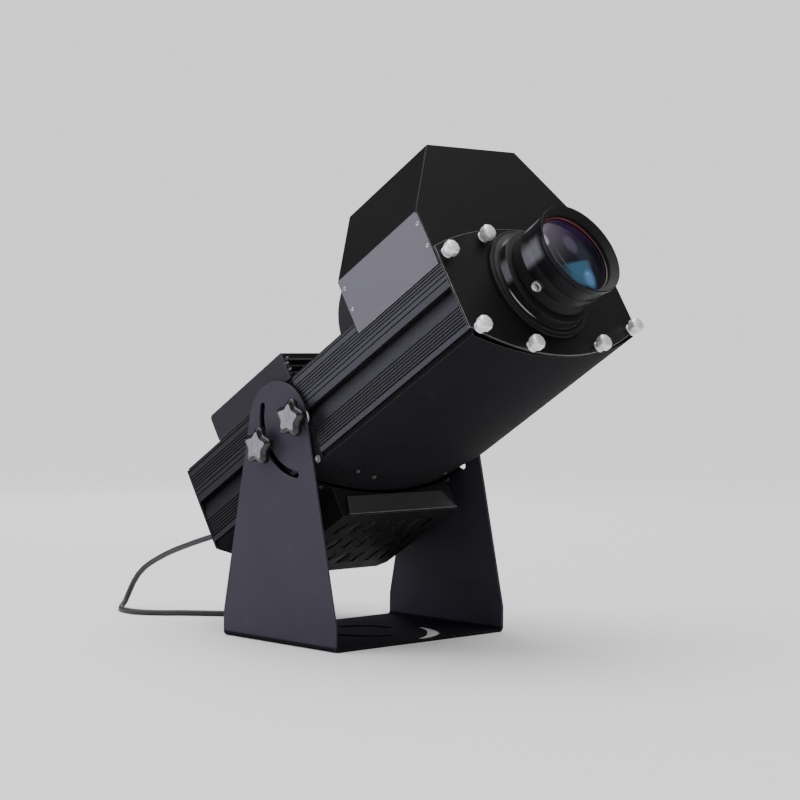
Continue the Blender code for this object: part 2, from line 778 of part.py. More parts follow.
def louvred_front():
    """The rear hood's front wall from top to bottom, pressed out into blades."""
    points = []
    lowest = COVER_BOTTOM + LOUVRE_PITCH / 2
    for index in reversed(range(LOUVRES)):
        height = lowest + LOUVRE_PITCH * index
        points += [(REAR_HOOD_START, height + LOUVRE_PITCH / 2), (REAR_HOOD_START + LOUVRE_RISE, height)]
    return points


def make_rear_hood(head):
    half = BODY_HALF - SHEET
    rear, bottom, top, bend = REAR_HOOD_END, COVER_BOTTOM, REAR_HOOD_TOP - GAP, REAR_HOOD_CORNER
    outline = [(rear, bottom)] + arc((rear + bend, top - bend), bend, 180, 90, 4)
    outline += [(REAR_HOOD_START, top)] + louvred_front() + [(REAR_HOOD_START, bottom)]
    corners = [(half, -along, z) for along, z in outline]
    open_cover("rear_hood", corners, (-2 * half, 0, 0), [len(corners) - 1], "black_sheet", head)
    loop = [(REAR_HOOD_START, bottom), (REAR_HOOD_START, REAR_HOOD_TOP)]
    loop += arc((rear + bend, REAR_HOOD_TOP - bend), bend, 90, 180, 4) + [(rear, bottom)]
    for side, label in ((-1, "left"), (1, "right")):
        side_plate(f"rear_side_plate_{label}", [loop], half + GAP, half + SHEET, side, "grey_sheet", head)


def make_end_plate(head):
    half = BODY_HALF
    loop = [(-half, EXTRUSION_TOP), (half, EXTRUSION_TOP)] + shell_edge(-EDGE_CHAMFER)
    hole = circle((GLAND_SIDE, GLAND_HEIGHT), GLAND_TAIL_RADIUS + GAP)
    back = REAR_END - GAP - END_PLATE
    face_plate("rear_end_plate", [loop, hole], back, REAR_END - GAP, "black_sheet", head)


# Front plate


def plate_outline(inset=0.0):
    half = PLATE_HALF - inset
    top = sagged_edge(half, PLATE_SIDE_TOP - inset, PLATE_TOP - inset)
    bottom = sagged_edge(half, PLATE_SIDE_BOTTOM + inset, PLATE_BOTTOM + inset)
    return top + bottom[::-1]


def nut_centres():
    outer = (PLATE_HALF - NUT_EDGE, OUTER_NUT_RISE)
    inner = (INNER_NUT_SIDE, INNER_NUT_RISE)
    for sign in (-1, 1):
        for rise in (1, -1):
            for across, height in (outer, inner):
                yield sign * across, NUT_MIDDLE + rise * height


def make_front_plate(head):
    hole = circle((0, LENS_HEIGHT), NECK_RADIUS + GAP, RING_STEPS)
    bolts = [circle(centre, NUT_SHANK_RADIUS + GAP, 12) for centre in nut_centres()]
    loops = [plate_outline(), hole] + bolts
    face_plate("front_plate", loops, PLATE_BACK, PLATE_FRONT, "black_sheet", head)
    ring = [plate_outline(GASKET_INSET), plate_outline(GASKET_INSET + GASKET_WIDTH)]
    back = FRONT_END + GAP
    face_plate("front_gasket", ring, back, back + GASKET_THICK, "rubber", head)


def make_thumb_nuts(head):
    low, high, shank = NUT_NECK, NUT_NECK + NUT_HEIGHT, -PLATE_THICK - GAP
    profile = [(0, high), (NUT_RADIUS - NUT_CHAMFER, high), (NUT_RADIUS, high - NUT_CHAMFER)]
    profile += [(NUT_RADIUS, low + NUT_CHAMFER), (NUT_RADIUS - NUT_CHAMFER, low)]
    profile += [(NUT_NECK_RADIUS, low), (NUT_NECK_RADIUS, 0)]
    profile += [(NUT_SHANK_RADIUS, 0), (NUT_SHANK_RADIUS, shank), (0, shank)]
    for index, (x, z) in enumerate(nut_centres()):
        seat = (x, -(PLATE_FRONT + GAP), z)
        turned(f"thumb_nut_{index + 1}", profile, "bright_metal", head, seat, FACE, NUT_SIDES)


# Lens


def make_lens_mount(head):
    bore, neck, sleeve = BARREL_RADIUS + GAP, NECK_RADIUS, SLEEVE_RADIUS
    flange = PLATE_FRONT + GAP
    rim = flange + FLANGE_DEPTH
    step = (FLANGE_RADIUS + COLLAR_RADIUS) / 2
    profile = [(bore, SLEEVE_END), (sleeve, SLEEVE_END), (sleeve, GROOVE_END), (neck, GROOVE_END)]
    profile += [(neck, COLLAR_END + SHEET), (COLLAR_FRONT_RADIUS, COLLAR_END)]
    profile += [(COLLAR_RADIUS, rim + FLANGE_DEPTH), (step, rim + FLANGE_DEPTH / 2), (step, rim)]
    profile += [(FLANGE_RADIUS, rim), (FLANGE_RADIUS, flange), (neck, flange)]
    profile += [(neck, BARREL_START), (bore, BARREL_START)]
    mount = as_mesh(beam_turned("lens_mount", profile, "lens_black", head, closed=True))
    cut(mount, screw_rod("screw_hole", SCREW_SHANK_RADIUS + GAP, 0.0, 2 * sleeve, head))


def screw_rod(name, radius, start, end, head):
    """A rod out of the lens axis along the focus screw, between two distances from the axis."""
    angle = math.radians(SCREW_ANGLE)
    out = Vector((-math.cos(angle), 0, -math.sin(angle)))
    axis_point = Vector((0, -(GROOVE_END + SCREW_LEAD), LENS_HEIGHT))
    rotation = out.to_track_quat("Z", "Y").to_euler()
    centre = axis_point + out * (start + end) / 2
    return pin(name, centre, radius, end - start, rotation, head)


def make_focus_screw(head):
    shank = BARREL_RADIUS + 2 * GAP
    seat = SLEEVE_RADIUS + GAP
    screw = as_mesh(screw_rod("focus_screw", SCREW_SHANK_RADIUS, shank, seat + SCREW_HEAD / 2, head))
    return fuse(screw, screw_rod("screw_grip", SCREW_RADIUS, seat, seat + SCREW_HEAD, head))


def make_focus_barrel(head):
    inner = BARREL_RADIUS - BARREL_WALL
    tube = [(inner, SLEEVE_END), (BARREL_RADIUS, SLEEVE_END)]
    tube += [(BARREL_RADIUS, BARREL_START), (inner, BARREL_START)]
    beam_turned("focus_barrel", tube, "lens_black", head, closed=True)
    rim, front = BELL_RIM_RADIUS, BELL_BACK + BELL_LENGTH
    seat = BELL_BACK + BELL_SEAT
    glass_front = seat + GLASS_EDGE + GLASS_SAG
    bell = [(rim - SHEET, front), (rim, front), (rim, front - SHEET), (SLEEVE_RADIUS, BELL_BACK)]
    bell += [(inner, BELL_BACK), (inner, seat), (LENS_BORE, seat), (LENS_BORE, glass_front)]
    beam_turned("lens_hood", bell, "lens_black", head, closed=True)
    make_trim_ring(head, seat)
    make_glasses(head, seat)


def make_trim_ring(head, seat):
    low = seat + GLASS_EDGE + 2 * GAP
    high = low + TRIM_DEPTH
    outer, inner = LENS_BORE - GAP, LENS_BORE - GAP - TRIM_WIDTH
    ring = [(inner, high - TRIM_WIDTH / 3), (outer, high), (outer, low), (inner, low + GAP)]
    beam_turned("lens_trim_ring", ring, "red", head, closed=True)


def dome(radius, edge, sag, steps=6):
    """Points of a convex glass face, from its centre to its edge."""
    return [(radius * step / steps, edge + sag * (1 - (step / steps) ** 2)) for step in range(steps + 1)]


def make_glasses(head, seat):
    radius = LENS_BORE - 2 * GAP
    low = seat + GAP
    high = seat + GLASS_EDGE - GAP
    beam_turned("front_lens", dome(radius, high, GLASS_SAG) + [(radius, low), (0, low)], "glass", head)
    radius = BARREL_RADIUS - BARREL_WALL - GAP
    back_face = BARREL_START + BARREL_WALL
    face = dome(radius, back_face + BARREL_WALL, GLASS_SAG)
    beam_turned("rear_lens", face + [(radius, back_face), (0, back_face)], "glass", head)


# Bottom housing


def vent_slots():
    middle = (HOUSING_START + HOUSING_END) / 2
    for across in spread(0.0, VENT_PITCH, VENT_COLUMNS):
        for along in spread(middle, VENT_ROW_PITCH, VENT_ROWS):
            yield across, along


def make_housing(head):
    """An open box under the rear shell, chamfered at its rear corners and slotted below."""
    half, front, rear = HOUSING_HALF, HOUSING_START, HOUSING_END
    outline = [(half, front), (half, rear + HOUSING_CHAMFER), (half - HOUSING_CHAMFER, rear)]
    outline += [(HOUSING_CHAMFER - half, rear), (-half, rear + HOUSING_CHAMFER), (-half, front)]
    corners = [(x, -along, HOUSING_BOTTOM) for x, along in outline]
    housing = open_housing(corners, head)
    roof = [(x, z - SHEET / 2 - GAP) for x, z in shell_edge()] + [(-BODY_HALF, 0.0), (BODY_HALF, 0.0)]
    cut(housing, face_plate("shell_room", [roof], rear - BODY_HALF, front + BODY_HALF, "dull_metal", head))
    for index, (x, along) in enumerate(vent_slots()):
        across, length = VENT_WIDTH / 2, VENT_LENGTH / 2
        loop = rectangle(x - across, x + across, -along - length, -along + length)
        centre = (0, 0, HOUSING_BOTTOM)
        cut(housing, flat_piece(f"vent_{index}", [loop], 4 * SHEET, "dull_metal", head, centre, FLAT))


def make_front_panel(head):
    """A trapezoid panel hung before the housing, leaning forwards at its foot."""
    height = PANEL_TOP - HOUSING_BOTTOM
    loop = [(-PANEL_BOTTOM_HALF, -height), (PANEL_BOTTOM_HALF, -height)]
    loop += [(PANEL_TOP_HALF, 0.0), (-PANEL_TOP_HALF, 0.0)]
    hinge = (0, -(HOUSING_START + GAP + SHEET / 2), PANEL_TOP)
    leaning = (math.radians(90 - PANEL_LEAN), 0.0, 0.0)
    flat_piece("housing_front_panel", [loop], SHEET, "black_sheet", head, hinge, leaning)


def open_housing(corners, head):
    """The housing's sheet before it is trimmed to the shell: a floor with walls, open above."""
    rise = -HOUSING_BOTTOM + SHELL_LIP
    mesh = bpy.data.meshes.new("bottom_housing")
    shape = bmesh.new()
    floor = shape.faces.new([shape.verts.new(corner) for corner in corners])
    drawn = bmesh.ops.extrude_face_region(shape, geom=[floor], use_keep_orig=True)
    moved = [item for item in drawn["geom"] if isinstance(item, bmesh.types.BMVert)]
    bmesh.ops.translate(shape, verts=moved, vec=(0, 0, rise))
    bmesh.ops.recalc_face_normals(shape, faces=shape.faces)
    lid = [face for face in shape.faces if face.normal.z > 0.5]
    bmesh.ops.delete(shape, geom=lid, context="FACES_ONLY")
    shape.to_mesh(mesh)
    shape.free()
    return as_mesh(solidify(place(link_piece("bottom_housing", mesh, "black_sheet"), head), SHEET, -1.0))


def make_driver(head):
    low = HOUSING_BOTTOM + SHEET + GAP
    middle = (HOUSING_START + HOUSING_END) / 2
    along = (middle - DRIVER_LENGTH / 2, middle + DRIVER_LENGTH / 2)
    block("driver_box", (-DRIVER_HALF, DRIVER_HALF), along, (low, low + DRIVER_HEIGHT), "dull_metal", head)


# Light source


def fin_outline():
    """The heat sink from above: a base plate towards the beam with fins behind it."""
    half, front, root = INNER_HALF, HEAT_SINK_FRONT, HEAT_SINK_FRONT - HEAT_SINK_BASE
    points = [(half, -front), (-half, -front)]
    pitch = (2 * half - FIN_THICK) / (FINS - 1)
    for index in range(FINS):
        left = -half + pitch * index
        points += [(left, -root), (left, -HEAT_SINK_BACK)]
        points += [(left + FIN_THICK, -HEAT_SINK_BACK), (left + FIN_THICK, -root)]
    return [points[0], points[1]] + points[3:-1]


def make_light_source(head):
    centre = (0, 0, (HEAT_SINK_BOTTOM + HEAT_SINK_TOP) / 2)
    height = HEAT_SINK_TOP - HEAT_SINK_BOTTOM
    flat_piece("led_heat_sink", [fin_outline()], height, "dull_metal", head, centre, FLAT)
    back = HEAT_SINK_FRONT + GAP
    front = back + LED_BOARD_THICK
    half = LED_BOARD / 2
    loop = rectangle(-half, half, LENS_HEIGHT - half, LENS_HEIGHT + half)
    board = as_mesh(face_plate("led_module", [loop], back, front, "circuit", head))
    lamp = dome(LED_RADIUS, front, LED_RISE) + [(LED_RADIUS, back + GAP), (0, back + GAP)]
    fuse(board, beam_turned("led_dome", lamp, "glass", head, steps=20))


def make_fan(head):
    half, high = FAN_SIZE / 2, LID_BOTTOM - GAP
    low = high - FAN_DEPTH
    centre = (0, -FAN_CENTRE)
    loop = rectangle(-half, half, centre[1] - half, centre[1] + half)
    middle = (0, 0, (low + high) / 2)
    loops = [loop, circle(centre, FAN_BORE, RING_STEPS)]
    frame = as_mesh(flat_piece("cooling_fan", loops, FAN_DEPTH, "rubber", head, middle, FLAT))
    bar = rectangle(-half + BLADE_THICK, half - BLADE_THICK, centre[1] - FAN_WEB, centre[1] + FAN_WEB)
    web_at = (0, 0, low + FAN_WEB / 2)
    fuse(frame, flat_piece("fan_bar", [bar], FAN_WEB, "rubber", head, web_at, FLAT))
    fuse(frame, pin("fan_seat", (0, centre[1], low + FAN_WEB / 2), FAN_HUB_RADIUS, FAN_WEB, FLAT, head))
    bottom = low + FAN_WEB + 2 * GAP
    rotor_at = (0, centre[1], (bottom + high - GAP) / 2)
    flat_piece("fan_rotor", [rotor_outline()], high - GAP - bottom, "rubber", head, rotor_at, FLAT)


def rotor_outline():
    """A hub with straight blades, as one closed outline."""
    tip = FAN_BORE - BLADE_TIP_ROOM
    root_half = BLADE_THICK / 2 / FAN_HUB_RADIUS
    tip_half = BLADE_THICK / 2 / tip
    blade = [(FAN_HUB_RADIUS, -root_half), (tip, -tip_half), (tip, tip_half)]
    blade += [(FAN_HUB_RADIUS, root_half), (FAN_HUB_RADIUS, math.pi / FAN_BLADES)]
    points = []
    for index in range(FAN_BLADES):
        middle = 2 * math.pi * index / FAN_BLADES
        for radius, turn in blade:
            points.append((radius * math.cos(middle + turn), radius * math.sin(middle + turn)))
    return points


def make_condenser(head):
    start = FRONT_START + GAP
    end = start + CONDENSER_LENGTH
    inner = CONDENSER_RADIUS - CONDENSER_WALL
    tube = [(inner, end), (CONDENSER_RADIUS, end), (CONDENSER_RADIUS, start), (inner, start)]
    beam_turned("condenser_holder", tube, "dull_metal", head, closed=True)
    radius = inner - GAP
    middle = (start + end) / 2
    edge = CONDENSER_GLASS / 4
    front = dome(radius, middle + edge, edge)
    back = [(r, 2 * middle - along) for r, along in reversed(front)]
    beam_turned("condenser_lens", front + back, "glass", head)


# Wave wheels


def wheel_profile(shaft):
    """Disc, hub and shaft about the disc's middle; the shaft runs towards the motor behind."""
    glass, hub = WHEEL_GLASS / 2, HUB_LENGTH / 2
    points = [(0, hub), (HUB_RADIUS, hub), (HUB_RADIUS, glass), (WHEEL_RADIUS, glass)]
    points += [(WHEEL_RADIUS, -glass), (HUB_RADIUS, -glass), (HUB_RADIUS, -hub)]
    return points + [(SHAFT_RADIUS, -hub), (SHAFT_RADIUS, -shaft), (0, -shaft)]


def bracket_outline():
    half, low, high = INNER_HALF, EXTRUSION_BOTTOM + GAP, EXTRUSION_TOP - GAP
    tower = [(BRACKET_TOWER_HALF, high), (BRACKET_TOWER_HALF, BRACKET_TOWER_TOP)]
    tower += [(-BRACKET_TOWER_HALF, BRACKET_TOWER_TOP), (-BRACKET_TOWER_HALF, high)]
    return [(-half, low), (half, low), (half, high)] + tower + [(-half, high)]


def make_wave_drive(label, facing, head):
    """A glass wheel with its bracket and motor; facing is 1 for the rear one, -1 for the front."""
    disc = WHEEL_MIDDLE - facing * WHEEL_SPACING / 2
    bracket_face = HUB_LENGTH / 2 + BRACKET_ROOM
    motor_face = bracket_face + BRACKET_THICK + GAP
    flip = FACE if facing > 0 else (math.radians(-90), 0, 0)
    at = (0, -disc, WHEEL_HEIGHT)
    shaft = motor_face + SHAFT_IN_MOTOR
    turned(f"wave_wheel_{label}", wheel_profile(shaft), "glass", head, at, flip, RING_STEPS)
    ends = sorted((disc - facing * bracket_face, disc - facing * (bracket_face + BRACKET_THICK)))
    beam_hole = circle((0, LENS_HEIGHT), BEAM_WINDOW)
    shaft_hole = circle((0, WHEEL_HEIGHT), 2 * SHAFT_RADIUS, 16)
    loops = [bracket_outline(), beam_hole, shaft_hole]
    face_plate(f"wheel_bracket_{label}", loops, *ends, "dull_metal", head)
    bore = SHAFT_RADIUS + GAP
    bore_end = -motor_face - SHAFT_IN_MOTOR - GAP
    back = -motor_face - MOTOR_LENGTH
    case = [(0, bore_end), (bore, bore_end), (bore, -motor_face)]
    case += [(MOTOR_RADIUS, -motor_face), (MOTOR_RADIUS, back), (0, back)]
    turned(f"wave_motor_{label}", case, "dull_metal", head, at, flip, 24)


# Cord


def gland_tip():
    return REAR_END - 2 * GAP - END_PLATE - GLAND_FLANGE - GLAND_DOME


def make_gland(head):
    """A cable gland through the rear end plate: tail inside, flange and dome outside."""
    face = REAR_END - 2 * GAP - END_PLATE
    inside = REAR_END + GLAND_FLANGE
    bore = CORD_RADIUS - GAP
    tip = gland_tip()
    profile = [(bore, inside), (GLAND_TAIL_RADIUS, inside), (GLAND_TAIL_RADIUS, face)]
    profile += [(GLAND_FLANGE_RADIUS, face), (GLAND_FLANGE_RADIUS, face - GLAND_FLANGE)]
    profile += [(GLAND_DOME_RADIUS, face - GLAND_FLANGE)]
    profile += [(GLAND_DOME_RADIUS, face - GLAND_FLANGE - GLAND_DOME / 2)]
    profile += [(CORD_RADIUS + SHEET, tip), (bore, tip)]
    turned("cord_gland", profile, "rubber", head, (GLAND_SIDE, 0, GLAND_HEIGHT), FACE, 20, True)


def head_point(along, x, height):
    """A point of the level head, carried to where it lies at the photographed tilt."""
    tilt = math.radians(TILT)
    y = -PIVOT_FORWARD - along * math.cos(tilt) + height * math.sin(tilt)
    return Vector((x, y, PIVOT_HEIGHT + along * math.sin(tilt) + height * math.cos(tilt)))


def coil_start():
    angle = math.radians(COIL_START_ANGLE)
    out = Vector((math.cos(angle), math.sin(angle), 0))
    return Vector((COIL_X, COIL_Y, CORD_RADIUS)) + out * COIL_RADIUS, out


def cord_route():
    """From the gland, a stiff droop to the floor, then back round to the coil behind the yoke."""
    tip = head_point(gland_tip() - GAP, GLAND_SIDE, GLAND_HEIGHT)
    straight = head_point(gland_tip() - GAP - STRAIGHT_END, GLAND_SIDE, GLAND_HEIGHT)
    start, out = coil_start()
    along = Vector((out.y, -out.x, 0))
    hanging = [(-0.060, 0.2060, 0.1060), (-0.066, 0.2327, 0.0976), (-0.066, 0.2624, 0.0883)]
    hanging += [(-0.066, 0.2924, 0.0782), (-0.066, 0.3229, 0.0653), (-0.067, 0.3435, 0.0540)]
    hanging += [(-0.069, 0.3580, 0.0400), (-0.073, 0.3650, 0.0240), (-0.082, 0.3640, 0.0090)]
    lying = [(-0.096, 0.3540, 0.0036), (-0.108, 0.3340, 0.0036), (-0.108, 0.3050, 0.0036)]
    lying += [(-0.090, 0.2800, 0.0036), (-0.066, 0.2600, 0.0036)]
    end = start + along * (STRAIGHT_END + GAP)
    bend = [Vector(point) for point in hanging + lying]
    middle, length = smooth_route([straight] + bend + [end + along * STRAIGHT_END], CORD_SPACING)
    return [tip] + middle + [end], length + 2 * STRAIGHT_END


def smooth_route(route, spacing):
    """Evenly spaced points on a smooth curve through the route's own points."""
    dense = []
    padded = [route[0]] + route + [route[-1]]
    for before, here, there, after in zip(padded, padded[1:], padded[2:], padded[3:]):
        for step in range(20):
            t = step / 20
            bend = 2 * here + (there - before) * t
            bend += (2 * before - 5 * here + 4 * there - after) * t**2
            bend += (3 * here - before - 3 * there + after) * t**3
            dense.append(bend / 2)
    dense.append(route[-1])
    return even_points(dense, spacing)


def even_points(dense, spacing):
    lengths = [0.0]
    for here, there in zip(dense, dense[1:]):
        lengths.append(lengths[-1] + (there - here).length)
    count = max(2, round(lengths[-1] / spacing))
    points, index = [], 0
    for step in range(count + 1):
        target = lengths[-1] * step / count
        while index < len(lengths) - 2 and lengths[index + 1] < target:
            index += 1
        share = (target - lengths[index]) / max(lengths[index + 1] - lengths[index], 1e-9)
        points.append(dense[index].lerp(dense[index + 1], share))
    return points, lengths[-1]


def coil_points():
    """Loops that spiral in on the floor, climb, and spiral out again on top of themselves."""
    reverse = COIL_TURNS_IN
    total = 2 * reverse + 0.5
    points = []
    count = round(total * LOOP_POINTS)
    for step in range(count + 1):
        turn = total * step / count
        inwards = min(turn, reverse) if turn < reverse + 0.5 else total - turn
        climb = min(max((turn - reverse) / 0.5, 0.0), 1.0)
        ease = climb * climb * (3 - 2 * climb)
        angle = math.radians(COIL_START_ANGLE) + 2 * math.pi * turn
        radius = COIL_RADIUS - COIL_PITCH * inwards
        flat = Vector((math.cos(angle), math.sin(angle), 0)) * radius
        points.append(Vector((COIL_X, COIL_Y, CORD_RADIUS)) + flat + Vector((0, 0, COIL_LIFT * ease)))
    return points


def coil_path():
    """The coil with a straight stretch before it and one after it, which rises to the plug."""
    loops = coil_points()
    start, out = coil_start()
    forward = Vector((-out.y, out.x, 0))
    lead_in = [start - forward * STRAIGHT_END]
    lead = (loops[-1] - loops[-2]).normalized()
    lead.z = 0.0
    lead.normalize()
    rise = PLUG_RADIUS - loops[-1].z
    run_out = []
    for share in (0.25, 0.5, 0.75, 1.0):
        ease = share * share * (3 - 2 * share)
        run_out.append(loops[-1] + lead * 0.045 * share + Vector((0, 0, rise * ease)))
    run_out.append(run_out[-1] + lead * STRAIGHT_END)
    return lead_in + loops + run_out, lead


def least_self_gap(points, radius):
    """The narrowest space between turns, measured on points half a turn and more apart."""
    apart = LOOP_POINTS // 2
    least = 1.0
    for first, here in enumerate(points):
        for there in points[first + apart:]:
            least = min(least, (here - there).length)
    return least - 2 * radius


def tube(name, points, radius, resolution, finish, parent):
    data = bpy.data.curves.new(name, "CURVE")
    data.dimensions = "3D"
    data.bevel_depth = radius
    data.bevel_resolution = resolution
    data.use_fill_caps = True
    spline = data.splines.new("POLY")
    spline.points.add(len(points) - 1)
    for slot, point in zip(spline.points, points):
        slot.co = (*point, 1.0)
    return place(link_piece(name, data, finish), parent)


def make_cord(stand):
    points, length = cord_route()
    tube("mains_cord", points, CORD_RADIUS, 2, "rubber", stand)
    coil, lead = coil_path()
    tube("cord_coil", coil, CORD_RADIUS, 1, "rubber", stand)
    coil_length = sum((there - here).length for here, there in zip(coil, coil[1:]))
    print(f"cord {length:.3f} m and coil {coil_length:.3f} m")
    print(f"least gap between the coil's turns {least_self_gap(coil, CORD_RADIUS) * 1000:.2f} mm")
    make_plug(coil[-1] + lead * GAP, lead, stand)


def make_plug(start, lead, stand):
    """A round two-pin plug whose neck meets the cord's end face to face."""
    neck, end = PLUG_NECK, PLUG_NECK + PLUG_LENGTH
    profile = [(0, end), (PLUG_RADIUS - SHEET, end), (PLUG_RADIUS, end - SHEET)]
    profile += [(PLUG_RADIUS, neck + PLUG_RADIUS), (PLUG_NECK_RADIUS, neck)]
    profile += [(PLUG_NECK_RADIUS, 0), (0, 0)]
    rotation = lead.to_track_quat("Z", "Y").to_euler()
    plug = as_mesh(turned("mains_plug", profile, "rubber", stand, start, rotation, 20))
    across = Vector((-lead.y, lead.x, 0))
    for sign in (-1, 1):
        centre = start + lead * end + across * sign * PIN_SPREAD
        fuse(plug, pin(f"plug_pin_{sign + 1}", centre, PIN_RADIUS, 2 * PIN_LENGTH, rotation, stand, 12))


# Assembly


def make_empty(name, location, rotation):
    empty = bpy.data.objects.new(name, None)
    PARTS.objects.link(empty)
    empty.location = location
    empty.rotation_euler = rotation
    return empty


def build():
    stand = make_empty("stand", (0, 0, 0), FLAT)
    head = make_empty("head", (0, -PIVOT_FORWARD, PIVOT_HEIGHT), (math.radians(-TILT), 0, 0))
    bpy.context.view_layer.update()
    make_yoke(stand)
    make_knobs(head)
    make_extrusions(head)
    make_shells(head)
    make_mid_frame(head)
    make_front_hood(head)
    make_back_cover(head)
    make_lids(head)
    make_rear_hood(head)
    make_end_plate(head)
    make_front_plate(head)
    make_thumb_nuts(head)
    make_lens_mount(head)
    make_focus_screw(head)
    make_focus_barrel(head)
    make_housing(head)
    make_front_panel(head)
    make_driver(head)
    make_light_source(head)
    make_fan(head)
    make_condenser(head)
    make_wave_drive("rear", 1, head)
    make_wave_drive("front", -1, head)
    make_gland(head)
    make_cord(stand)


clear_scene()
PARTS = make_collection("Water wave effect light")
CUTTERS = make_collection("Cutters")
build()
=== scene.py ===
from math import atan2, cos, pi, radians, sin

import bmesh
from bmesh import ops
import bpy
from mathutils import Matrix, Vector


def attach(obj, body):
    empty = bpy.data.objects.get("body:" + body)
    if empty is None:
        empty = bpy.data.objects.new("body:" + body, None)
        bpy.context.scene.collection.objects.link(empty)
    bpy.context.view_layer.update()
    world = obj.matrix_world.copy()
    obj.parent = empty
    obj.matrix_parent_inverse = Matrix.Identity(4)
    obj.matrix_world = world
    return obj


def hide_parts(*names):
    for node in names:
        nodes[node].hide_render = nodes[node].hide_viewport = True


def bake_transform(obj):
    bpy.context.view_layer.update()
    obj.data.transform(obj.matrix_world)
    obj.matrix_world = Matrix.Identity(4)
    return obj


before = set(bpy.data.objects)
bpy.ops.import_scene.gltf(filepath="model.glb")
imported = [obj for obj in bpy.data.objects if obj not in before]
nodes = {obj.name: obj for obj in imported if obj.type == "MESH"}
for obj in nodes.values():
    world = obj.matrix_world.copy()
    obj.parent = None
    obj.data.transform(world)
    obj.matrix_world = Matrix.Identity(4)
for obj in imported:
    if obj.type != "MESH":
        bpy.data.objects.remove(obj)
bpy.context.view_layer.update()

# the head's own frame: X across, then up from the beam, then along the beam
head = {"pivot": (0, -0.033, 0.264), "tilt": 32.0}
tilt = radians(head["tilt"])
across = Vector((1, 0, 0))
lift = Vector((0, sin(tilt), cos(tilt)))
beam = Vector((0, -cos(tilt), sin(tilt)))


def headPoint(along, x, height):
    return Vector(head["pivot"]) + beam * along + across * x + lift * height


def seat(point, normal, upright):
    # a matrix that stands a piece on a point, with its own Z along the normal
    out = Vector(normal).normalized()
    side = Vector(upright).cross(out).normalized()
    turned = Matrix((side, out.cross(side), out)).transposed().to_4x4()
    return Matrix.Translation(point) @ turned


def addObject(name, data):
    added = bpy.data.objects.new(name, data)
    bpy.context.scene.collection.objects.link(added)
    return added


camera = {
    "azimuth": -44.714, "elevation": 1.971, "roll": 0.742, "distance": 2.6424,
    "target": (0.02747, -0.0272, 0.2818), "lens": 99.0,
}


def makeCamera():
    turn, rise = radians(camera["azimuth"]), radians(camera["elevation"])
    back = Vector((sin(turn) * cos(rise), -cos(turn) * cos(rise), sin(rise)))
    right = (-back).cross(Vector((0, 0, 1))).normalized()
    top = right.cross(-back)
    roll = radians(camera["roll"])
    right, top = (cos(roll) * right + sin(roll) * top,
                  cos(roll) * top - sin(roll) * right)
    eye = addObject("camera", bpy.data.cameras.new("camera"))
    spot = Vector(camera["target"]) + back * camera["distance"]
    eye.matrix_world = Matrix.Translation(spot) @ Matrix((right, top, back)).transposed().to_4x4()
    eye.data.sensor_width = 36
    eye.data.lens = camera["lens"]
    eye.data.clip_start = 0.05
    bpy.context.scene.camera = eye


studio = {
    "backdrop": 1.2, "horizon": 0.10, "zenith": 3.8, "glow": (0.58, 1.0),
    "floorSize": 60.0, "floor": (0.88, 0.88, 0.88),
    "lamps": (
        # place, what it is aimed at, size, power, tint
        ("sideSoftbox", (-1.75, 1.35, 0.85), (-0.05, -0.10, 0.80), (1.1, 1.2), 20, (0.86, 0.84, 1.0)),
        ("backStrip", (1.25, 1.85, 0.95), (0, -0.10, 0.45), (0.8, 0.5), 6, (0.92, 0.92, 1.0)),
        ("frontSoftbox", (-1.6, -2.6, 1.5), (0, -0.1, 0.35), (0.8, 0.8), 12, (1.0, 1.0, 1.0)),
    ),
}


def makeStudio():
    # a white backdrop, and a dim room with a glowing ceiling for everything that lights the object
    world = bpy.data.worlds.new("studio")
    bpy.context.scene.world = world
    world.use_nodes = True
    tree = world.node_tree
    sky = tree.nodes["Background"]
    sky.inputs["Color"].default_value = (1, 1, 1, 1)
    rays = tree.nodes.new("ShaderNodeLightPath")
    direction = tree.nodes.new("ShaderNodeTexCoord")
    split = tree.nodes.new("ShaderNodeSeparateXYZ")
    ceiling = tree.nodes.new("ShaderNodeMapRange")
    ceiling.interpolation_type = "SMOOTHSTEP"
    for index, value in enumerate((*studio["glow"], studio["horizon"], studio["zenith"])):
        ceiling.inputs[index + 1].default_value = value
    seen = tree.nodes.new("ShaderNodeMix")
    seen.inputs["B"].default_value = studio["backdrop"]
    tree.links.new(direction.outputs["Generated"], split.inputs[0])
    tree.links.new(split.outputs["Z"], ceiling.inputs["Value"])
    tree.links.new(rays.outputs["Is Camera Ray"], seen.inputs["Factor"])
    tree.links.new(ceiling.outputs["Result"], seen.inputs["A"])
    tree.links.new(seen.outputs["Result"], sky.inputs["Strength"])
    for name, place, aim, size, power, tint in studio["lamps"]:
        light = bpy.data.lights.new(name, "AREA")
        light.shape = "RECTANGLE"
        light.size, light.size_y = size
        light.energy = power
        light.color = tint
        holder = addObject(name, light)
        holder.location = place
        away = Vector(aim) - Vector(place)
        holder.rotation_euler = away.to_track_quat("-Z", "Y").to_euler()
        holder.visible_camera = False
    shape = bmesh.new()
    ops.create_grid(shape, x_segments=1, y_segments=1, size=studio["floorSize"] / 2)
    makeObject("floor", shape, "paleFloor")


def maths(operation):
    return lambda self, other: self.work(operation, self, other)


def mirroredMaths(operation):
    return lambda self, other: self.work(operation, other, self)


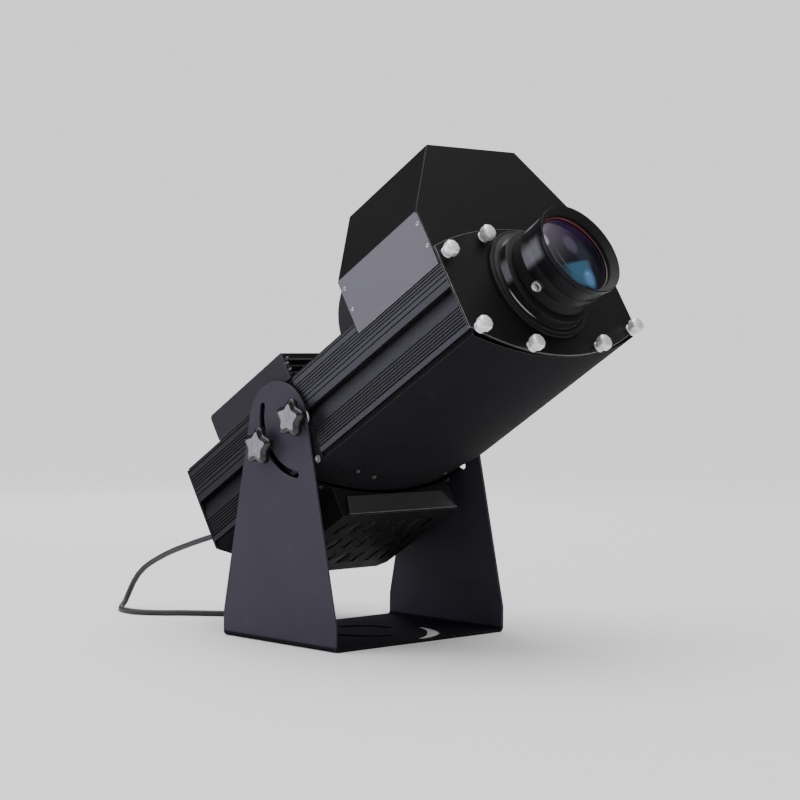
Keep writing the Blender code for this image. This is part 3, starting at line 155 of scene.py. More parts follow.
class Flow:
    # one output of a material's nodes, which can be added and multiplied like a number
    def __init__(self, paint, socket):
        self.paint = paint
        self.socket = socket

    def work(self, operation, first, second=0.0):
        return self.paint.node("Math", {"operation": operation}, {0: first, 1: second})

    __add__, __radd__ = maths("ADD"), mirroredMaths("ADD")
    __sub__, __rsub__ = maths("SUBTRACT"), mirroredMaths("SUBTRACT")
    __mul__, __rmul__ = maths("MULTIPLY"), mirroredMaths("MULTIPLY")
    __truediv__, __rtruediv__ = maths("DIVIDE"), mirroredMaths("DIVIDE")
    __pow__ = maths("POWER")

    def __abs__(self):
        return self.work("ABSOLUTE", self)

    def sine(self):
        return self.work("SINE", self)

    def between(self, low, high):
        # 0 below low, 1 above high, smooth between them
        settings = {"interpolation_type": "SMOOTHSTEP"}
        return self.paint.node("MapRange", settings, {0: self, 1: low, 2: high})


class Paint:
    def __init__(self, name, **fixed):
        self.finish = bpy.data.materials.new(name)
        self.finish.use_nodes = True
        self.tree = self.finish.node_tree
        self.shader = self.tree.nodes["Principled BSDF"]
        for label, value in fixed.items():
            self.shader.inputs[label.replace("_", " ")].default_value = value

    def node(self, kind, settings=None, sockets=None, out=0):
        made = self.tree.nodes.new("ShaderNode" + kind)
        for label, value in (settings or {}).items():
            setattr(made, label, value)
        for label, value in (sockets or {}).items():
            self.feed(made.inputs[label], value)
        return Flow(self, made.outputs[out])

    def feed(self, socket, value):
        if isinstance(value, Flow):
            self.tree.links.new(value.socket, socket)
        else:
            socket.default_value = value

    def over(self, share, colour):
        self.tone = self.mix(share, self.tone, colour)

    def drive(self, **sockets):
        for label, value in {"Base_Color": self.tone, **sockets}.items():
            self.feed(self.shader.inputs[label.replace("_", " ")], value)
        return self.finish

    def place(self, space="world", stretch=(1, 1, 1)):
        # coordinates in metres, of the world at rest or of the level head
        raw = self.node("TexCoord", out=3)
        settings = {"vector_type": "TEXTURE"}
        sockets = {"Scale": stretch}
        if space == "head":
            sockets.update({"Location": head["pivot"], "Rotation": (-tilt, 0, 0)})
        return self.node("Mapping", settings, {"Vector": raw, **sockets})

    def parts(self, vector):
        made = self.node("SeparateXYZ", None, {0: vector})
        outputs = made.socket.node.outputs
        return [Flow(self, outputs[index]) for index in range(3)]

    def noise(self, vector, scale, detail=3.0, rough=0.5):
        sockets = {"Vector": vector, "Scale": scale, "Detail": detail, "Roughness": rough}
        return self.node("TexNoise", None, sockets)

    def cells(self, vector, scale):
        return self.node("TexVoronoi", None, {"Vector": vector, "Scale": scale})

    def mix(self, share, first, second):
        sockets = {0: share, 6: self.colour(first), 7: self.colour(second)}
        return self.node("Mix", {"data_type": "RGBA"}, sockets, 2)

    def colour(self, value):
        return value if isinstance(value, Flow) else (*value, 1)

    def bump(self, height, distance, strength):
        sockets = {"Height": height, "Distance": distance, "Strength": strength}
        return self.node("Bump", None, sockets)


coats = {}  # every finished material by name

finishes = {
    # base, worn, roughness, shine, grain and its depth, and for the yoke the height of its base plate
    "hoodCoat": ((0.0044, 0.0044, 0.0049), (0.02, 0.02, 0.022), 0.45, 0.16, 1500, 0.00004),
    "bellyCoat": ((0.013, 0.013, 0.0145), (0.028, 0.028, 0.031), 0.68, 0.015, 1500, 0.00004),
    "housingCoat": ((0.013, 0.013, 0.0132), (0.03, 0.03, 0.03), 0.5, 0.16, 1300, 0.00005),
    # the housing's front panel: its lighter coat is partly painted light, standing in for light from
    # the front
    "panelCoat": ((0.056, 0.056, 0.058), (0.1, 0.1, 0.1), 0.42, 0.35, 1500, 0.00004),
    "plateCoat": ((0.1, 0.096, 0.117), (0.17, 0.165, 0.19), 0.4, 0.34, 1800, 0.00003),
    "rearPlateCoat": ((0.017, 0.0165, 0.021), (0.075, 0.073, 0.085), 0.42, 0.12, 1800, 0.00003),
    "yokeCoat": ((0.043, 0.04, 0.055), (0.1, 0.098, 0.112), 0.48, 0.09, 1200, 0.00005, 0.0046),
}


def scaled(colour, factor):
    return [part * factor for part in colour]


def sheetCoat(name):
    # powder coat: fine pitted grain, soft cloudy colour, a little dust and rubbed patches
    base, worn, roughness, shine, size, depth, *footing = finishes[name]
    paint = Paint(name, Specular_IOR_Level=shine)
    spot = paint.place()
    clouds = paint.noise(spot, 11, 4)
    rubbed = paint.noise(spot, 45, 6, 0.65).between(0.60, 0.74)
    grain = paint.noise(spot, size, 2)
    pits = paint.cells(spot, size * 0.55)
    dust = paint.noise(spot, 700, 3, 0.7).between(0.64, 0.72)
    paint.tone = paint.mix(clouds, scaled(base, 0.82), scaled(base, 1.2))
    paint.over(rubbed * 0.28 + dust * 0.10, worn)
    paintedFootShade = 0
    if footing:
        # painted shade: the plate on the floor lies in the head's shadow, darker and duller than the
        # arms
        paintedFootShade = 1 - paint.parts(spot)[2].between(footing[0], footing[0] + 0.003)
        paint.over(paintedFootShade * 0.85, scaled(base, 0.08))
    return paint.drive(Normal=paint.bump(grain + pits * 0.6, depth, 0.8),
                       Roughness=roughness + clouds * 0.10 + rubbed * 0.06 - 0.05 + paintedFootShade * 0.4)


def wornEdge(name):
    # the same coat where an edge is rubbed thin, in broken patches, partly a painted edge highlight
    worn, roughness, shine = finishes[name][1:4]
    paint = Paint(f"{name}Edge", Specular_IOR_Level=shine + 0.1)
    spot = paint.place()
    patches = paint.noise(spot, 160, 5, 0.7).between(0.46, 0.62)
    chips = paint.noise(spot, 420, 4, 0.7).between(0.60, 0.66)
    paint.tone = paint.mix(patches * 0.75, worn, scaled(worn, 1.9))
    paint.over(chips * 0.5, scaled(worn, 3))
    return paint.drive(Roughness=roughness - 0.06 + patches * 0.08,
                       Metallic=chips * 0.5, Normal=paint.bump(patches, 0.00003, 0.5))


anodised = {
    "base": (0.017, 0.017, 0.020), "ridgeWearAndHighlight": (0.050, 0.050, 0.057), "roughness": 0.38, "metal": 0.40,
    "shine": 0.30,
}


def anodisedRibs(name, depth=1.0):
    # drawn aluminium: long die lines along the beam; outer ridges rubbed, with a painted highlight
    paint = Paint(name, Specular_IOR_Level=anodised["shine"] * depth)
    spot = paint.place("head")
    lines = paint.noise(paint.place("head", (1 / 900, 1 / 6, 1 / 900)), 1.0, 3, 0.6)
    fine = paint.noise(paint.place("head", (1 / 3200, 1 / 25, 1 / 3200)), 1.0, 2, 0.6)
    clouds = paint.noise(spot, 14, 3)
    scuffs = paint.noise(spot, 60, 6, 0.7).between(0.58, 0.75)
    x = abs(paint.parts(spot)[0])
    outer = x.between(0.1328, 0.1339)
    # a depth below 1 gives a darker, duller copy of the finish: painted shade
    base = scaled(anodised["base"], depth)
    paint.tone = paint.mix(lines * 0.5 + clouds * 0.3, base, scaled(base, 1.6))
    # painted highlight on the outer ridge faces, broken by rubbed wear
    paint.over(outer * (0.45 + scuffs * 0.4), scaled(anodised["ridgeWearAndHighlight"], depth))
    return paint.drive(Metallic=anodised["metal"] + clouds * 0.1,
                       Roughness=anodised["roughness"] + fine * 0.12 + scuffs * 0.10,
                       Normal=paint.bump(lines + fine * 0.5, 0.00003, 0.7))


metals = {
    # base, dark, roughness, metal
    "brightMetal": ((0.86, 0.86, 0.87), (0.62, 0.62, 0.64), 0.34, 0.55),
    "millAluminium": ((0.5, 0.5, 0.52), (0.34, 0.34, 0.36), 0.4, 1.0),
    "screwSteel": ((0.55, 0.55, 0.57), (0.25, 0.25, 0.26), 0.3, 1.0),
    "boltSteel": ((0.2, 0.2, 0.21), (0.08, 0.08, 0.085), 0.36, 0.9),
    "brassPin": ((0.72, 0.56, 0.3), (0.45, 0.32, 0.14), 0.28, 1.0),
}


def barMetal(name):
    # machined metal with turning marks, stains and fine scratches
    base, dark, roughness, metal = metals[name]
    paint = Paint(name, Metallic=metal)
    marks = paint.noise(paint.place("head", (1 / 500, 1 / 3500, 1 / 500)), 1.0, 3, 0.6)
    stains = paint.noise(paint.place("head"), 90, 4, 0.6)
    scratches = paint.noise(paint.place("head", (1 / 2400, 1 / 300, 1 / 150)), 1.0, 4, 0.7)
    scratches = scratches.between(0.60, 0.70)
    paint.tone = paint.mix(stains.between(0.35, 0.70) * 0.55 + scratches * 0.2, base, dark)
    return paint.drive(Roughness=roughness + stains * 0.14 + scratches * 0.1,
                       Normal=paint.bump(marks + scratches * 0.5, 0.00002, 0.6))


lensBlack = {
    "base": (0.0055, 0.0055, 0.0062), "worn": (0.07, 0.07, 0.08), "roughness": 0.25, "height": 0.0055,
    "sheen": (0.170, 0.165, 0.195), "gleam": (0.48, 0.48, 0.50),
    # painted highlights where the lamps reflect on the tube: the colour, the angle up from the left
    # side and the distance along the beam, each as start, full, full, end, and the strength
    "patches": (
        ("sheen", (-0.16, 0.02, 0.20, 0.50), (0.3186, 0.3194, 0.3420, 0.3520), 0.95),
        ("sheen", (-0.16, 0.00, 0.20, 0.44), (0.2912, 0.2916, 0.3000, 0.3006), 0.75),
        ("gleam", (0.80, 0.90, 0.96, 1.08), (0.3195, 0.3230, 0.3420, 0.3480), 0.45),
        ("gleam", (0.72, 0.84, 0.92, 1.04), (0.2912, 0.2920, 0.2990, 0.3004), 0.35),
        ("gleam", (-0.95, -0.70, -0.35, -0.15), (0.2896, 0.2898, 0.2908, 0.2912), 0.80),
    ),
}


def turnedBlack(name):
    # polished black anodised turning, faint tool rings round the lens axis, and painted highlight
    # patches
    paint = Paint(name, Specular_IOR_Level=0.12)
    spot = paint.place("head")
    x, y, z = paint.parts(spot)
    rise = z - lensBlack["height"]
    radius = (x * x + rise * rise) ** 0.5
    grooves = ((radius + y) * 9000).sine() * 0.5 + ((radius - y) * 5200).sine() * 0.5
    clouds = paint.noise(spot, 40, 4, 0.6)
    scuffs = paint.noise(spot, 120, 6, 0.72).between(0.64, 0.80)
    paint.tone = paint.mix(clouds, lensBlack["base"], scaled(lensBlack["base"], 1.6))
    paint.over(scuffs * 0.10, lensBlack["worn"])
    # painted highlights: pale sheen and gleam patches where the lamps would reflect on the tube
    turn = rise.work("ARCTAN2", rise, x * -1)
    for colour, angles, lengths, strength in lensBlack["patches"]:
        share = turn.between(*angles[:2]) * (1 - turn.between(*angles[2:]))
        share = share * (y * -1).between(*lengths[:2]) * (1 - (y * -1).between(*lengths[2:]))
        paint.over(share * (clouds * 0.3 + 0.85) * strength, lensBlack[colour])
    return paint.drive(Roughness=lensBlack["roughness"] + clouds * 0.06 + scuffs * 0.10,
                       Normal=paint.bump(grooves, 0.000002, 0.4))


def dullBlack(name):
    # the matt black of the groove, the fixed half of the tube and the inside of the mouth
    paint = Paint(name, Specular_IOR_Level=0.3)
    spot = paint.place("head")
    grain = paint.noise(spot, 900, 3, 0.6)
    clouds = paint.noise(spot, 45, 3)
    paint.tone = paint.mix(clouds, (0.0045, 0.0045, 0.0050), (0.0085, 0.0085, 0.0095))
    return paint.drive(Roughness=0.52 + grain * 0.12, Normal=paint.bump(grain, 0.00003, 0.6))


glassLook = {
    "deep": (0.006, 0.006, 0.011), "purple": (0.030, 0.014, 0.050), "pink": (0.16, 0.09, 0.17),
    "blue": (0.038, 0.110, 0.175), "bright": (0.12, 0.26, 0.52),
    "glint": (0.42, 0.34, 0.42), "shine": (0.11, 0.10, 0.15),
    "height": 0.0055, "radius": 0.0482,
}


def coatedGlass(name):
    # a coated front lens with painted reflections: purple above, blue wedge below, dark depth between
    paint = Paint(name, IOR=1.45, Specular_IOR_Level=0.35, Coat_Weight=0.25, Coat_Roughness=0.03)
    x, y, z = paint.parts(paint.place("head"))
    u = x / glassLook["radius"]
    v = (z - glassLook["height"]) / glassLook["radius"]
    soft = paint.noise(paint.place("head"), 40, 2)
    ring = (u * u + v * v) ** 0.5

    def oval(middleX, middleY, narrow, low, near, far):
        # a soft oval spot, narrower and lower as its two factors grow
        sideways, upwards = u - middleX, v - middleY
        return 1 - (sideways * sideways * narrow + upwards * upwards * low).between(near, far)

    # painted purple reflection over the upper part
    upper = (v - u * 0.10 + soft * 0.3 - 0.15).between(0.05, 0.75)
    paint.tone = paint.mix(upper * 0.8, glassLook["deep"], glassLook["purple"])
    # painted pink reflection round the left edge
    left = ring.between(0.78, 0.96) * (0.15 - u * 0.9 + v * 0.2).between(0.1, 0.9)
    paint.over(left * 0.65, glassLook["pink"])
    # a small painted glint up on the left
    paint.over(oval(-0.78, 0.40, 2, 1, 0.006, 0.045) * 0.8, glassLook["glint"])
    # a painted reflection: an oval ghost of the lamp, and a fainter one beside it
    ghost = oval(-0.03, 0.25, 14, 9, 0.10, 0.9)
    second = oval(0.22, -0.02, 10, 5, 0.15, 1.0)
    paint.over(ghost * 0.40 + second * 0.14, glassLook["shine"])
    # two painted pale arcs low on the left, reflections of the edges of the lenses behind
    for centre, reach, strength in ((0.10, 0.66, 0.45), (0.06, 0.80, 0.30)):
        off = ((u - centre) * (u - centre) + (v - 0.05) * (v - 0.05)) ** 0.5
        arc = 1 - (abs(off - reach) / 0.035).between(0.0, 1.0)
        lowLeft = (0.1 - u).between(0.0, 0.5) * (0.25 - v).between(0.0, 0.4)
        paint.over(arc * lowLeft * strength, glassLook["shine"])
    # the painted blue wedge of reflected light, cut by two soft straight edges, brightest in its lower
    # corner
    low = (-0.17 - v + u * 0.14).between(0.0, 0.10)
    side = (0.46 + v * 0.08 - u).between(0.0, 0.22)
    inner = (u + 0.74).between(0.0, 0.50) * (0.90 - ring).between(0.0, 0.12)
    paint.over(low * side * inner * (0.70 + soft * 0.3), glassLook["blue"])
    corner = oval(0.20, -0.66, 1, 1, 0.0, 0.09)
    paint.over(corner * low * side * 0.60, glassLook["bright"])
    # a tiny painted glint in the wedge
    paint.over(oval(0.12, -0.53, 1, 1, 0.0002, 0.003) * 0.5, glassLook["glint"])
    # darker at the very rim
    paint.over(ring.between(0.93, 1.0) * 0.8, (0.003, 0.003, 0.004))
    return paint.drive(Roughness=0.06 + soft * 0.03, Normal=paint.bump(soft, 0.00002, 0.1))


plastics = {
    # base, tint, roughness, grain, and for the ring where it fades to near black
    "knobPlastic": ((0.0075, 0.0075, 0.009), (0.014, 0.014, 0.016), 0.22, 900),
    "cordPlastic": ((0.018, 0.018, 0.019), (0.03, 0.03, 0.032), 0.46, 1400),
    "fanPlastic": ((0.014, 0.014, 0.015), (0.024, 0.024, 0.026), 0.5, 900),
    "gasketRubber": ((0.012, 0.012, 0.012), (0.02, 0.02, 0.02), 0.75, 700),
    "whiteNylon": ((0.66, 0.65, 0.61), (0.75, 0.74, 0.71), 0.42, 900),
    "boardGreen": ((0.012, 0.085, 0.035), (0.02, 0.13, 0.05), 0.4, 500),
    "redRing": ((0.105, 0.005, 0.012), (0.2, 0.009, 0.02), 0.36, 1200, (-0.005, 0.045)),
}


def mouldedPlastic(name):
    base, tint, roughness, size, *fade = plastics[name]
    paint = Paint(name, Specular_IOR_Level=0.5)
    spot = paint.place("head" if fade else "world")
    clouds = paint.noise(spot, 60, 4, 0.6)
    grain = paint.noise(spot, size, 3, 0.6)
    marks = paint.noise(spot, 210, 5, 0.7).between(0.60, 0.72)
    paint.tone = paint.mix(clouds * 0.7 + marks * 0.3, base, tint)
    if fade:
        # the colour fades to near black towards the lower right
        x, y, z = paint.parts(spot)
        paint.over((x - z).between(*fade[0]) * 0.9, (0.004, 0.003, 0.004))
    return paint.drive(Roughness=roughness + grain * 0.10 + marks * 0.08,
                       Normal=paint.bump(grain, 0.00003, 0.5))


def knobFace(name):
    # the knobs' flat tops: a pale painted highlight, with radial rubbing from hands
    paint = Paint(name, Specular_IOR_Level=0.5)
    spot = paint.place()
    clouds = paint.noise(spot, 160, 4, 0.6)
    scuffs = paint.noise(spot, 520, 5, 0.7).between(0.52, 0.68)
    paint.tone = paint.mix(clouds.between(0.3, 0.7), (0.15, 0.15, 0.168), (0.24, 0.24, 0.265))
    paint.over(scuffs * 0.35, (0.11, 0.11, 0.125))
    return paint.drive(Roughness=0.34 + scuffs * 0.15,
                       Normal=paint.bump(clouds + scuffs, 0.00004, 0.5))


def waveGlass(name):
    # moulded glass discs with a rippled relief
    paint = Paint(name, IOR=1.5, Transmission_Weight=0.85, Specular_IOR_Level=0.5)
    spot = paint.place("head")
    ripples = paint.noise(spot, 70, 2, 0.5)
    swirl = paint.noise(spot, 190, 2, 0.5)
    paint.tone = paint.mix(ripples, (0.78, 0.88, 0.92), (0.92, 0.96, 0.98))
    return paint.drive(Roughness=0.05 + swirl * 0.05,
                       Normal=paint.bump(ripples + swirl * 0.3, 0.003, 0.8))


def innerGlass(name):
    paint = Paint(name, IOR=1.5, Transmission_Weight=0.9)
    spot = paint.place("head")
    haze = paint.noise(spot, 50, 3)
    paint.tone = paint.mix(haze, (0.80, 0.84, 0.90), (0.92, 0.94, 0.97))
    return paint.drive(Roughness=0.03 + haze * 0.03, Normal=paint.bump(haze, 0.0001, 0.1))


def paleFloor(name):
    paint = Paint(name, Specular_IOR_Level=0.2)
    spot = paint.place()
    clouds = paint.noise(spot, 3, 2)
    paint.tone = paint.mix(clouds, scaled(studio["floor"], 0.985), studio["floor"])
    return paint.drive(Roughness=0.8 + clouds * 0.05)


def makeObject(name, shape, finish, body=None):
    # the finish is the name of one material, or of more with spaces between
    mesh = bpy.data.meshes.new(name)
    shape.to_mesh(mesh)
    shape.free()
    for coat in finish.split():
        mesh.materials.append(coats[coat])
    piece = addObject(name, mesh)
    if body:
        mesh.shade_smooth()
        mesh.set_sharp_from_angle(angle=radians(32))
        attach(piece, body)
    return piece


def rounded(points, steps=4):
    # rounds the corners of a profile that have a size: (radius, length, size) points
    out = []
    count = len(points)
    for index, point in enumerate(points):
        size = point[2] if len(point) > 2 else 0
        here = Vector(point[:2])
        before = Vector(points[index - 1][:2])
        after = Vector(points[(index + 1) % count][:2])
        if size <= 0:
            out.append(tuple(here))
            continue
        start = here + (before - here).normalized() * min(size, (before - here).length * 0.45)
        end = here + (after - here).normalized() * min(size, (after - here).length * 0.45)
        for step in range(steps + 1):
            share = step / steps
            point = start.lerp(here, share).lerp(here.lerp(end, share), share)
            out.append(tuple(point))
    return out


def spinProfile(points, steps, closed=True):
    # turns (radius, length) points round Z; a closed profile is a ring, an open one ends on the axis
    shape = bmesh.new()
    corners = [shape.verts.new((radius, 0, length)) for radius, length in rounded(points)]
    ends = corners[1:] + corners[:1] if closed else corners[1:]
    edges = [shape.edges.new(pair) for pair in zip(corners, ends)]
    ops.spin(shape, geom=corners + edges, cent=(0, 0, 0), axis=(0, 0, 1), steps=steps,
                   angle=2 * pi, use_merge=True)
    ops.remove_doubles(shape, verts=shape.verts, dist=0.000001)
    ops.recalc_face_normals(shape, faces=shape.faces)
    return shape


def bevelEdges(shape, width, segments=2, angle=35):
    sharp = [edge for edge in shape.edges if len(edge.link_faces) == 2
             and edge.calc_face_angle(0) > radians(angle)]
    ops.bevel(shape, geom=sharp, offset=width, affect="EDGES", segments=segments, profile=0.5,
                    material=-1, clamp_overlap=True)


def joinInto(target, other):
    mesh = bpy.data.meshes.new("joined")
    other.to_mesh(mesh)
    other.free()
    target.from_mesh(mesh)
    bpy.data.meshes.remove(mesh)


def prism(sides, radius, bottom, top, topRadius=None):
    shape = bmesh.new()
    middle = Matrix.Translation((0, 0, (bottom + top) / 2))
    ops.create_cone(shape, cap_ends=True, segments=sides, radius1=radius, radius2=topRadius or radius,
                          depth=top - bottom, matrix=middle)
    return shape


def coatFaces(faces, index=1):
    for face in faces:
        face.material_index = index


def squeeze(vert, factor):
    vert.co.x *= factor
    vert.co.y *= factor


def stepFaces(shape, faces, inset, rise):
    # insets some flat faces and raises or lowers what is left of them
    ops.inset_region(shape, faces=faces, thickness=inset)
    ops.translate(shape, verts=list({v for f in faces for v in f.verts}), vec=(0, 0, rise))


def finishPiece(name, shape, finish, body, slot, *replaced):
    piece = makeObject(name, shape, finish, body)
    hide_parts(*replaced)
    return piece


print("materials and helpers ready")

cord = {
    "radius": 0.0035, "spacing": 0.0135, "straight": 0.007, "gap": 0.0003,
    "exit": (-0.2404, -0.055, -0.020),
    # two points along the cord's bend, between the gland and the floor
    "flex": ((-0.0549, 0.1599, 0.1203), (-0.0607, 0.1876, 0.0711)),
    "hanging": ((-0.060, 0.2060, 0.1060), (-0.066, 0.2327, 0.0976), (-0.066, 0.2624, 0.0883),
                (-0.066, 0.2924, 0.0782), (-0.066, 0.3229, 0.0653), (-0.067, 0.3435, 0.0540),
                (-0.069, 0.3580, 0.0400), (-0.073, 0.3650, 0.0240), (-0.082, 0.3640, 0.0090)),
    "lying": ((-0.096, 0.3540, 0.0036), (-0.108, 0.3340, 0.0036), (-0.108, 0.3050, 0.0036),
              (-0.090, 0.2800, 0.0036), (-0.066, 0.2600, 0.0036)),
    "coil": {"centre": (0.018, 0.172), "radius": 0.050, "pitch": 0.0087, "lift": 0.0078, "turnsIn": 1.5,
             "startAngle": 150.0, "loopPoints": 24, "runOut": 0.045},
    "relief": {"length": 0.0205, "inside": 0.0050, "wide": 0.0062, "narrow": 0.0042, "rings": 6},
}


def smoothRoute(route, spacing):
    # evenly spaced points on a smooth curve through the route's own points
    dense = []
    padded = [route[0]] + route + [route[-1]]
    for before, here, there, after in zip(padded, padded[1:], padded[2:], padded[3:]):
        for step in range(20):
            t = step / 20
            bend = 2 * here + (there - before) * t
            bend += (2 * before - 5 * here + 4 * there - after) * t**2
            bend += (3 * here - before - 3 * there + after) * t**3
            dense.append(bend / 2)
    dense.append(route[-1])
    lengths = [0.0]
    for here, there in zip(dense, dense[1:]):
        lengths.append(lengths[-1] + (there - here).length)
    count = max(2, round(lengths[-1] / spacing))
    points, index = [], 0
    for step in range(count + 1):
        target = lengths[-1] * step / count
        while index < len(lengths) - 2 and lengths[index + 1] < target:
            index += 1
        share = (target - lengths[index]) / max(lengths[index + 1] - lengths[index], 1e-9)
        points.append(dense[index].lerp(dense[index + 1], share))
    return points


def coilLoops():
    # loops that spiral in on the floor, climb, and spiral out again on top of themselves
    coil = cord["coil"]
    total = 2 * coil["turnsIn"] + 0.5
    centre = Vector((*coil["centre"], cord["radius"]))
    count = round(total * coil["loopPoints"])
    points = []
    for step in range(count + 1):
        turn = total * step / count
        inwards = min(turn, coil["turnsIn"]) if turn < coil["turnsIn"] + 0.5 else total - turn
        climb = min(max((turn - coil["turnsIn"]) / 0.5, 0.0), 1.0)
        angle = radians(coil["startAngle"]) + 2 * pi * turn
        reach = coil["radius"] - coil["pitch"] * inwards
        lifted = coil["lift"] * climb * climb * (3 - 2 * climb)
        points.append(centre + Vector((cos(angle) * reach, sin(angle) * reach, lifted)))
    return points


def cordPath():
    # straight out of the gland, a stiff droop to the floor, back round to the coil, and up to the plug
    tip = headPoint(*cord["exit"])
    straight = tip - beam * cord["straight"]
    loops = coilLoops()
    angle = radians(cord["coil"]["startAngle"])
    back = Vector((sin(angle), -cos(angle), 0))
    end = loops[0] + back * (cord["straight"] + cord["gap"])
    bend = [Vector(point) for point in cord["hanging"] + cord["lying"]]
    route = smoothRoute([straight] + bend + [end + back * cord["straight"]], cord["spacing"])
    lead = (loops[-1] - loops[-2]).normalized()
    lead.z = 0
    lead.normalize()
    rise = plug["radius"] - loops[-1].z
    runOut = []
    for share in (0.25, 0.5, 0.75, 1.0):
        climbed = Vector((0, 0, rise * share * share * (3 - 2 * share)))
        runOut.append(loops[-1] + lead * cord["coil"]["runOut"] * share + climbed)
    runOut.append(runOut[-1] + lead * cord["straight"])
    return [tip] + route + [end, loops[0] + back * cord["straight"]] + loops + runOut, lead


def tubeMesh(points, radii, rounds=5):
    # a round tube swept along points, as a mesh with closed ends
    data = bpy.data.curves.new("route", "CURVE")
    data.dimensions = "3D"
    data.bevel_depth = 1.0
    data.bevel_resolution = rounds
    data.use_fill_caps = True
    line = data.splines.new("POLY")
    line.points.add(len(points) - 1)
    for slot, point, radius in zip(line.points, points, radii):
        slot.co = (*point, 1)
        slot.radius = radius
    holder = addObject("route", data)
    drawn = bpy.data.meshes.new_from_object(holder.evaluated_get(bpy.context.evaluated_depsgraph_get()))
    bpy.data.objects.remove(holder)
    bpy.data.curves.remove(data)
    shape = bmesh.new()
    shape.from_mesh(drawn)
    bpy.data.meshes.remove(drawn)
    ops.remove_doubles(shape, verts=shape.verts, dist=0.00001)
    ops.recalc_face_normals(shape, faces=shape.faces)
    return shape


def flexible(name, shape):
    # a cord piece, baked where it lies in the world with no parent
    piece = makeObject(name, shape, "cordPlastic", "yoke")
    piece.parent = None
    piece.matrix_world = Matrix.Identity(4)
    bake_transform(piece)
    return piece


def makeCord():
    path, lead = cordPath()
    piece = flexible("mainsCord", tubeMesh(path, [cord["radius"]] * len(path)))
    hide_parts("mains_cord", "cord_coil")
    makeRelief(path)
    plugPiece = makePlug(path[-1] + lead * cord["gap"], lead)
    length = sum((there - here).length for here, there in zip(path, path[1:]))
    print(f"cord {length:.3f} m")


def makeRelief(path):
    # a tapered, ringed sleeve that follows the cord's first bend
    look = cord["relief"]
    start = headPoint(cord["exit"][0] + look["inside"], *cord["exit"][1:])
    line = smoothRoute([start] + path[:5], 0.0006)
    line = line[:round(look["length"] / 0.0006)]
    radii = []
    for index in range(len(line)):
        share = index / (len(line) - 1)
        ring = 0.5 + 0.5 * cos(2 * pi * look["rings"] * share)
        radii.append(look["wide"] + (look["narrow"] - look["wide"]) * share - 0.0005 * ring)
    flexible("cordRelief", tubeMesh(line, radii, 7))


plug = {"neck": 0.016, "neckRadius": 0.0062, "radius": 0.0175, "length": 0.046, "pinRadius": 0.0024,
        "pinLength": 0.019, "pinSpread": 0.0095, "ribs": 5}


def makePlug(start, lead):
    # a round plug with grip rings, a ringed neck and two pins
    neck, end, wide = plug["neck"], plug["neck"] + plug["length"], plug["radius"]
    profile = [(0, end), (wide - 0.0012, end, 0.0008), (wide, end - 0.0016, 0.0008),
               (wide, end - 0.0080, 0.0006)]
    grip = (end - 0.0090 - neck - wide * 0.8) / plug["ribs"]
    for index in range(plug["ribs"]):
        top = end - 0.0090 - index * grip
        profile += [(wide - 0.0016, top, 0.0006), (wide - 0.0016, top - grip * 0.45, 0.0006),
                    (wide, top - grip * 0.55, 0.0006), (wide, top - grip * 0.95, 0.0006)]
    thin = plug["neckRadius"]
    profile += [(wide, neck + wide * 0.8, 0.004), (thin + 0.0012, neck, 0.003)]
    for index in range(4):
        top = neck - 0.0012 - index * 0.0036
        profile += [(thin, top, 0.0004), (thin, top - 0.0014, 0.0004),
                    (thin - 0.0008, top - 0.0018, 0.0003), (thin - 0.0008, top - 0.0032, 0.0003)]
    profile += [(0.0049, 0, 0.0004), (0, 0)]
    shape = spinProfile(profile, 64, closed=False)
    for side in (-1, 1):
        pin = plug["pinRadius"]
        tip = end + plug["pinLength"]
        line = [(0, tip), (pin - 0.0010, tip, 0.0004), (pin, tip - 0.0016, 0.0004), (pin, end - 0.0010),
                (0, end - 0.0010)]
        prong = spinProfile(line, 24, closed=False)
        coatFaces(prong.faces)
        ops.translate(prong, verts=prong.verts, vec=(side * plug["pinSpread"], 0, 0))
        joinInto(shape, prong)
    shape.transform(seat(start, lead, (0, 0, 1)))
    return finishPiece("mainsPlug", shape, "cordPlastic brassPin", "yoke", "rubber", "mains_plug")


gland = {"at": (-0.2171, -0.055, -0.020), "flange": 0.005, "hexRadius": 0.0146, "dome": 0.018,
         "radius": 0.010, "inside": 0.0085, "hole": 0.0036, "ribs": 18}


def makeGland():
    # a hexagon against the end plate, and a domed ribbed cap that grips the cord
    low, high, wide = gland["flange"], gland["flange"] + gland["dome"], gland["radius"]
    hole, inside = gland["hole"], gland["inside"]
    shape = prism(6, gland["hexRadius"], 0.00015, low - 0.00015)
    bevelEdges(shape, 0.0005, 2, 25)
    cap = [(hole, high - 0.0002), (0.0058, high - 0.0002, 0.0008), (0.0082, high - 0.0040, 0.0020),
           (wide, high - 0.0085, 0.0020), (wide, low + 0.0016, 0.0006),
           (wide + 0.0016, low + 0.0010, 0.0004), (wide + 0.0016, low - 0.0003, 0.0003),
           (hole, low - 0.0003)]
    dome = spinProfile(cap, 72)
    for vert in dome.verts:
        spread = vert.co.xy.length
        if spread > 0.0080 and low + 0.0016 < vert.co.z < high - 0.0060:
            turn = atan2(vert.co.y, vert.co.x)
            squeeze(vert, 1 - 0.05 * (0.5 + 0.5 * cos(gland["ribs"] * turn)))
    joinInto(shape, dome)
    tail = [(hole, -0.0002), (inside, -0.0002), (inside, -0.0120), (hole, -0.0120)]
    joinInto(shape, spinProfile(tail, 32))
    shape.transform(seat(headPoint(*gland["at"]), -beam, lift))
    finishPiece("cordGland", shape, "cordPlastic", "head", "rubber", "cord_gland")


